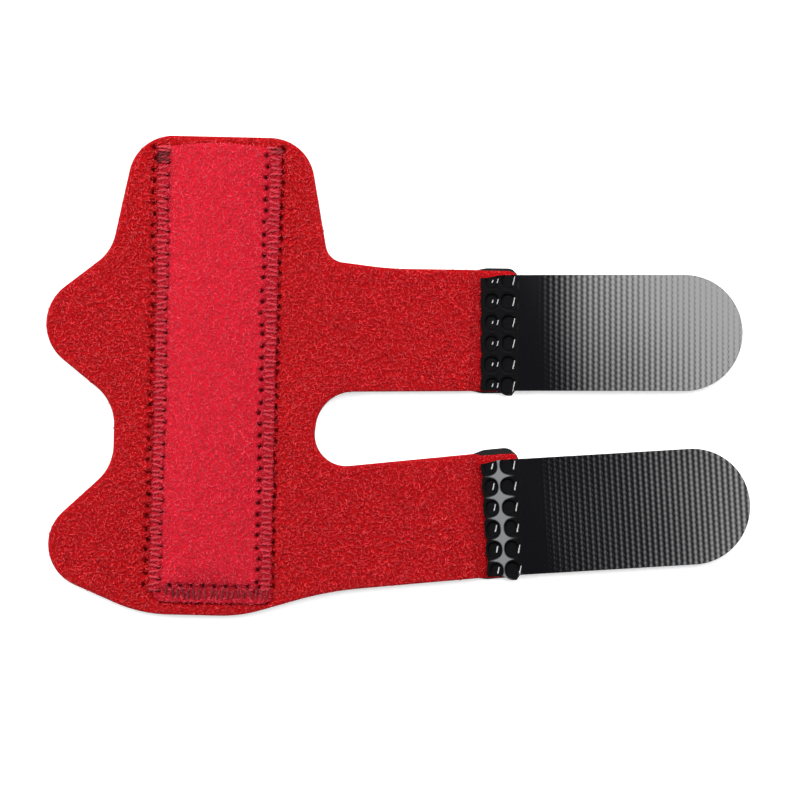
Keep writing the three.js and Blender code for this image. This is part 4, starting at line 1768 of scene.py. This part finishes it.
    def build_weld(self) -> bpy.types.Object:
        """The welded end of the tape: two columns of pits pressed through it by the horn.

        Its start is scalloped by 1 - sqrt(1 - 0.97 p^2), with p from -1 to 1 along a row. The columns of
        points lean by 0.25 dy - 0.06 dy^2 near each row's middle, and the lips lean with them.
        """
        across = np.linspace(-self.width / 2, self.width / 2, int(self.width / self.weld_step))
        phase = (across / self.pit_pitch_y) % 1.0 * 2 - 1
        lobe = 1 - np.sqrt(1 - 0.97 * phase**2)
        later = self.tab.scallop * lobe + 0.08 * unevenness(across, across * 0, 0.9, 77)
        dy = (across / self.pit_pitch_y % 1.0 - 0.5) * self.pit_pitch_y
        lean = (0.25 * dy - 0.06 * dy**2) * np.exp(-((dy / 1.2) ** 4))
        u, dy = np.meshgrid(self.weld_stations(), dy)
        x = u + later[:, None] * (1 - smooth(self.tab.weld_start, 1.1, u))
        x = x + lean[:, None] * smooth(self.tab.weld_start, 1.1, u)
        pushed = smooth(1.9, 3.9, x) * (1 - smooth(4.5, 5.3, x))
        share = across[:, None] / (self.width / 2)
        y = across[:, None] - self.corner_bulge * smooth(-0.9, -1.0, share) * pushed
        y = y - self.corner_draw * smooth(0.8, 1.0, share) * (1 - smooth(-0.4, 3.4, x))
        relief, ridge, gloss = self.weld_relief(x, y, u, dy)
        top = self.seat + self.thick - self.weld_sunk + relief
        under = np.full(top.shape, self.seat - self.weld_root)
        top = np.maximum(top, under + self.weld_thinnest)
        points, faces = shell(np.stack([x, y, top], -1), np.stack([x, y, under], -1))
        placed = self.wrap.from_tab(self.side, points)
        # Painted sheen on the ridges, by the tab's share; gloss sets only roughness and specular level.
        values = {"ridge_sheen": self.tab.ridge_sheen * ridge, "gloss": gloss}
        values = {key: np.concatenate([value.ravel(), np.zeros(value.size)]) for key, value in values.items()}
        name = f"hook_weld_{self.side.value}"
        piece = new_piece(name, placed, faces, MeltedNylon().build(), values, crisp=2)
        return piece

    def build_hooks(self) -> bpy.types.Object:
        """Rows of J hooks under the free part of the tape, each a bent tube of seven points."""
        weld, length = self.wrap.weld_length, self.tab.length
        rows = int((self.width / 2 - 0.5) / self.hook_row_pitch)
        y = np.arange(-rows, rows + 1) * self.hook_row_pitch
        x = np.arange(weld + 1.6, length - 0.4, self.hook_pitch)
        x, y = (a.ravel() for a in np.meshgrid(x, y))
        x = x + np.where(np.round(y / self.hook_row_pitch) % 2 == 0, 0.0, self.hook_pitch / 2)
        inside = np.abs(y) < self.half_at(x + 0.5) - 0.45
        x, y = x[inside], y[inside]
        bend = np.array([0.0, 0.0, 0.02, 0.14, 0.34, 0.5, 0.52])
        fall = np.array([-0.05, 0.35, 0.68, 0.87, 0.89, 0.72, 0.5])
        way = np.where(np.round(x / self.hook_pitch) % 2 == 0, 1.0, -1.0)
        low = self.underside(x)
        lines = np.stack(
            [
                x[:, None] + way[:, None] * (bend - 0.2),
                np.repeat(y[:, None], len(bend), 1),
                low[:, None] - fall * self.hook_height,
            ],
            -1,
        )
        points, faces = tubes(lines, np.full(len(x), self.hook_radius), 5, taper=0.8)
        placed = self.wrap.from_tab(self.side, points)
        piece = new_piece(f"hooks_{self.side.value}", placed, faces, HookFilament().build())
        return piece

    def build(self) -> list[bpy.types.Object]:
        """The tape, its weld and its hooks."""
        tape, weld, hooks = self.build_tape(), self.build_weld(), self.build_hooks()
        return [tape, weld, hooks]


# ---------------------------------------------------------------- studio


@dataclass(frozen=True)
class Softbox:
    """A rectangular studio light: where it stands, what it faces, its size and its power."""

    name: str
    place: tuple[float, float, float]
    target: tuple[float, float, float]
    size: tuple[float, float]
    watts: float
    turn: float = 0.0

    def build(self) -> bpy.types.Object:
        """The light, turned to face its target and then about its own axis."""
        data = bpy.data.lights.new(self.name, "AREA")
        data.shape = "RECTANGLE"
        data.size, data.size_y = self.size
        data.energy = self.watts
        light = bpy.data.objects.new(self.name, data)
        light.location = self.place
        aim = (Vector(self.target) - Vector(self.place)).to_track_quat("-Z", "Y")
        light.rotation_euler = aim.to_euler()
        light.rotation_euler.rotate_axis("Z", self.turn)
        bpy.context.scene.collection.objects.link(light)
        log.info("light %s", self.name)
        return light


@dataclass(frozen=True)
class FeatheredBank:
    """An overhead bank of light with a feathered edge: bands of rising radiance side by side.

    A band lies along a line turned by turn in the plane at height; its two limits are distances across that
    line from the origin, and its radiance is a share of the full one.
    """

    height: float = 0.9
    turn: float = math.radians(-27.1)
    middle: float = 0.1
    length: float = 0.7
    radiance: float = 8.2
    bands: tuple[tuple[float, float, float], ...] = (
        (-0.01, 0.01, 0.02),
        (0.01, 0.035, 0.08),
        (0.035, 0.065, 0.2),
        (0.065, 0.1, 0.46),
        (0.1, 0.13, 0.78),
        (0.13, 0.34, 1.0),
    )

    def build(self) -> None:
        """One area light a band; its power is pi * radiance * area."""
        along = np.array([math.cos(self.turn), math.sin(self.turn)])
        across = np.array([-along[1], along[0]])
        for number, (low, high, share) in enumerate(self.bands, 1):
            x, y = along * self.middle + across * (low + high) / 2
            watts = math.pi * self.radiance * share * self.length * (high - low)
            size = (self.length, high - low)
            place, target = (float(x), float(y), self.height), (float(x), float(y), 0.0)
            Softbox(f"bank_{number}", place, target, size, watts, self.turn).build()


@dataclass(frozen=True)
class Studio:
    """White paper floor, soft lights and the overhead camera."""

    camera_height: float = 0.6
    view_width: float = 0.1379
    centre: tuple[float, float] = (0.0003, -0.0042)
    focus_height: float = 0.0025
    floor_radius: float = 4.0
    floor_rings: int = 11
    floor_spokes: int = 72
    floor_level: float = -0.00002
    sensor: float = 36.0
    sky_low: float = 0.3
    sky_high: float = 0.03
    lights: tuple[Softbox, ...] = (
        Softbox("top_box", (-0.08, 0.3, 0.36), (0.0, 0.0, 0.0), (1.0, 0.36), 3.0),
        Softbox("left_box", (-0.45, 0.1, 0.5), (0.0, 0.0, 0.0), (0.6, 0.46), 0.6),
        Softbox("right_box", (0.32, 0.25, 0.44), (0.0, 0.0, 0.0), (0.5, 0.4), 1.9),
        Softbox("left_strip", (-0.42, 0.08, 0.275), (0.0, 0.0, 0.0), (0.26, 0.1), 1.25),
    )
    bank: FeatheredBank = field(default_factory=FeatheredBank)

    def build_floor(self) -> bpy.types.Object:
        """A round sheet of paper: rings and spokes of a disc, at the height of the foam's under side."""
        rings, spokes = self.floor_rings, self.floor_spokes
        radius = self.floor_radius * np.linspace(0, 1, rings + 1)[1:, None] ** 2
        angle = np.linspace(0, FULL_TURN, spokes, endpoint=False)
        ring = np.stack([radius * np.cos(angle), radius * np.sin(angle)], -1).reshape(-1, 2)
        points = np.vstack([[0, 0], ring])
        points = np.column_stack([points, np.full(len(points), self.floor_level)])
        index = np.arange(len(ring)).reshape(rings, spokes) + 1
        here, there = index[:-1], index[1:]
        quads = np.stack([here, there, np.roll(there, -1, 1), np.roll(here, -1, 1)], -1).reshape(-1, 4)
        hub = np.stack([np.zeros(spokes, int), index[0], np.roll(index[0], -1)], 1)
        mesh = bpy.data.meshes.new("paper_floor")
        mesh.from_pydata(points.tolist(), [], hub.tolist() + quads.tolist())
        mesh.materials.append(PaperSweep().build())
        floor = bpy.data.objects.new("paper_floor", mesh)
        bpy.context.scene.collection.objects.link(floor)
        return floor

    def build_sky(self) -> None:
        """Dim surroundings: pale near the horizon and almost black overhead."""
        world = bpy.data.worlds.new("studio_surroundings")
        world.use_nodes = True
        tree = world.node_tree
        tree.nodes.clear()
        place = add_node(tree, "ShaderNodeTexCoord").outputs["Generated"]
        parts = add_node(tree, "ShaderNodeSeparateXYZ", links={"Vector": place})
        level = add_node(
            tree,
            "ShaderNodeMapRange",
            {"From Min": 0.0, "From Max": 0.5, "To Min": self.sky_low, "To Max": self.sky_high},
            {"Value": parts.outputs["Z"]},
        )
        glow = add_node(
            tree,
            "ShaderNodeBackground",
            {"Color": (1.0, 1.0, 1.0, 1.0)},
            {"Strength": level.outputs["Result"]},
        )
        add_node(tree, "ShaderNodeOutputWorld", links={"Surface": glow.outputs[0]})
        bpy.context.scene.world = world

    def build_camera(self) -> bpy.types.Object:
        """The camera, looking straight down at the photograph's frame."""
        data = bpy.data.cameras.new("overhead_camera")
        data.sensor_width = self.sensor
        distance = self.camera_height
        data.lens = self.sensor * distance / self.view_width
        data.clip_start, data.clip_end = 0.01, 20.0
        camera = bpy.data.objects.new("overhead_camera", data)
        camera.location = (*self.centre, distance + self.focus_height)
        bpy.context.scene.collection.objects.link(camera)
        bpy.context.scene.camera = camera
        return camera

    def build(self) -> None:
        """Floor, surroundings, lights and camera, with plain colours."""
        self.build_floor()
        self.build_sky()
        for light in self.lights:
            light.build()
        self.bank.build()
        self.build_camera()
        bpy.context.scene.view_settings.view_transform = "Standard"
        bpy.context.scene.view_settings.look = "None"


# ---------------------------------------------------------------- the whole splint


@dataclass(frozen=True)
class Splint:
    """The whole splint, built layer by layer."""

    wrap: Wrap = field(default_factory=Wrap)
    pocket: StayPocket = field(default_factory=StayPocket)
    seam: Seam = field(default_factory=Seam)
    loop_pile: Pile = Pile("loop_pile", 6.6, 0.86, 0.34, 0.074, 0.4, 2.2, 4, 3, 11)
    felt_pile: Pile = Pile("felt_fuzz", 5.6, 0.8, 0.17, 0.066, 0.3, 1.6, 3, 1, 12)

    def loop_keeps(self, plan: Array) -> Array:
        """The size that a loop keeps: none under the strip and the tabs, little by holes and cut edges."""
        holes = self.seam.outer_holes(self.pocket)
        x, y = plan[:, 0], plan[:, 1]
        rim = evenly_spaced(self.wrap.outline(), 0.6)
        size = 1 - 0.98 * near_holes(plan, holes, 0.5)
        size = size * (1 - 0.6 * near_holes(plan, rim, 0.8))
        inside = self.pocket.across(x) < self.pocket.half_width(y) - 0.15
        under_strip = inside & (y > 2.3) & (y < 81.2 - 0.01 * x * x)
        size = np.where(under_strip, 0.0, size)
        for side in Side:
            place = self.wrap.in_tab(side, plan)
            covered = (place[:, 0] > -0.4) & (np.abs(place[:, 1]) < 9.95)
            size = np.where(covered, 0.0, size)
        return size * (1 - 0.35 * self.wrap.pressed(plan))

    def felt_keeps(self, plan: Array) -> Array:
        """The size that a felt fibre keeps: little by the needle holes and along the sewn edges."""
        holes = self.seam.inner_holes(self.pocket)
        x, y = plan[:, 0], plan[:, 1]
        sewn = smooth(-2.6, -1.0, self.pocket.across(x) - self.pocket.half_width(y))
        return (1 - 0.98 * near_holes(plan, holes, 0.42)) * (1 - 0.5 * sewn)

    def build(self) -> None:
        """Builds every piece."""
        outline = self.wrap.outline()
        LAY.fit(outline)
        laminate = Laminate(self.wrap, self.pocket, self.seam)
        laminate.build_foam(outline)
        cloth = laminate.build_cloth(outline)
        strip = self.pocket.build(self.seam)
        loops = self.loop_pile.grow(cloth, LoopStrand().build(), self.loop_keeps, "loop_fabric")
        felt = LoopStrand("needled_felt_fibre", "#A80E1E", "#E83E54", 0.36, 1.53, 0.34).build()
        fuzz = self.felt_pile.grow(strip, felt, self.felt_keeps, "pocket_felt")
        threads = Stitching(laminate).build()
        for side in Side:
            HookTab(self.wrap, side).build()


def main() -> None:
    logging.basicConfig(level=logging.INFO, format="%(message)s")
    Studio().build()
    Splint().build()


if __name__ == "__main__":
    main()
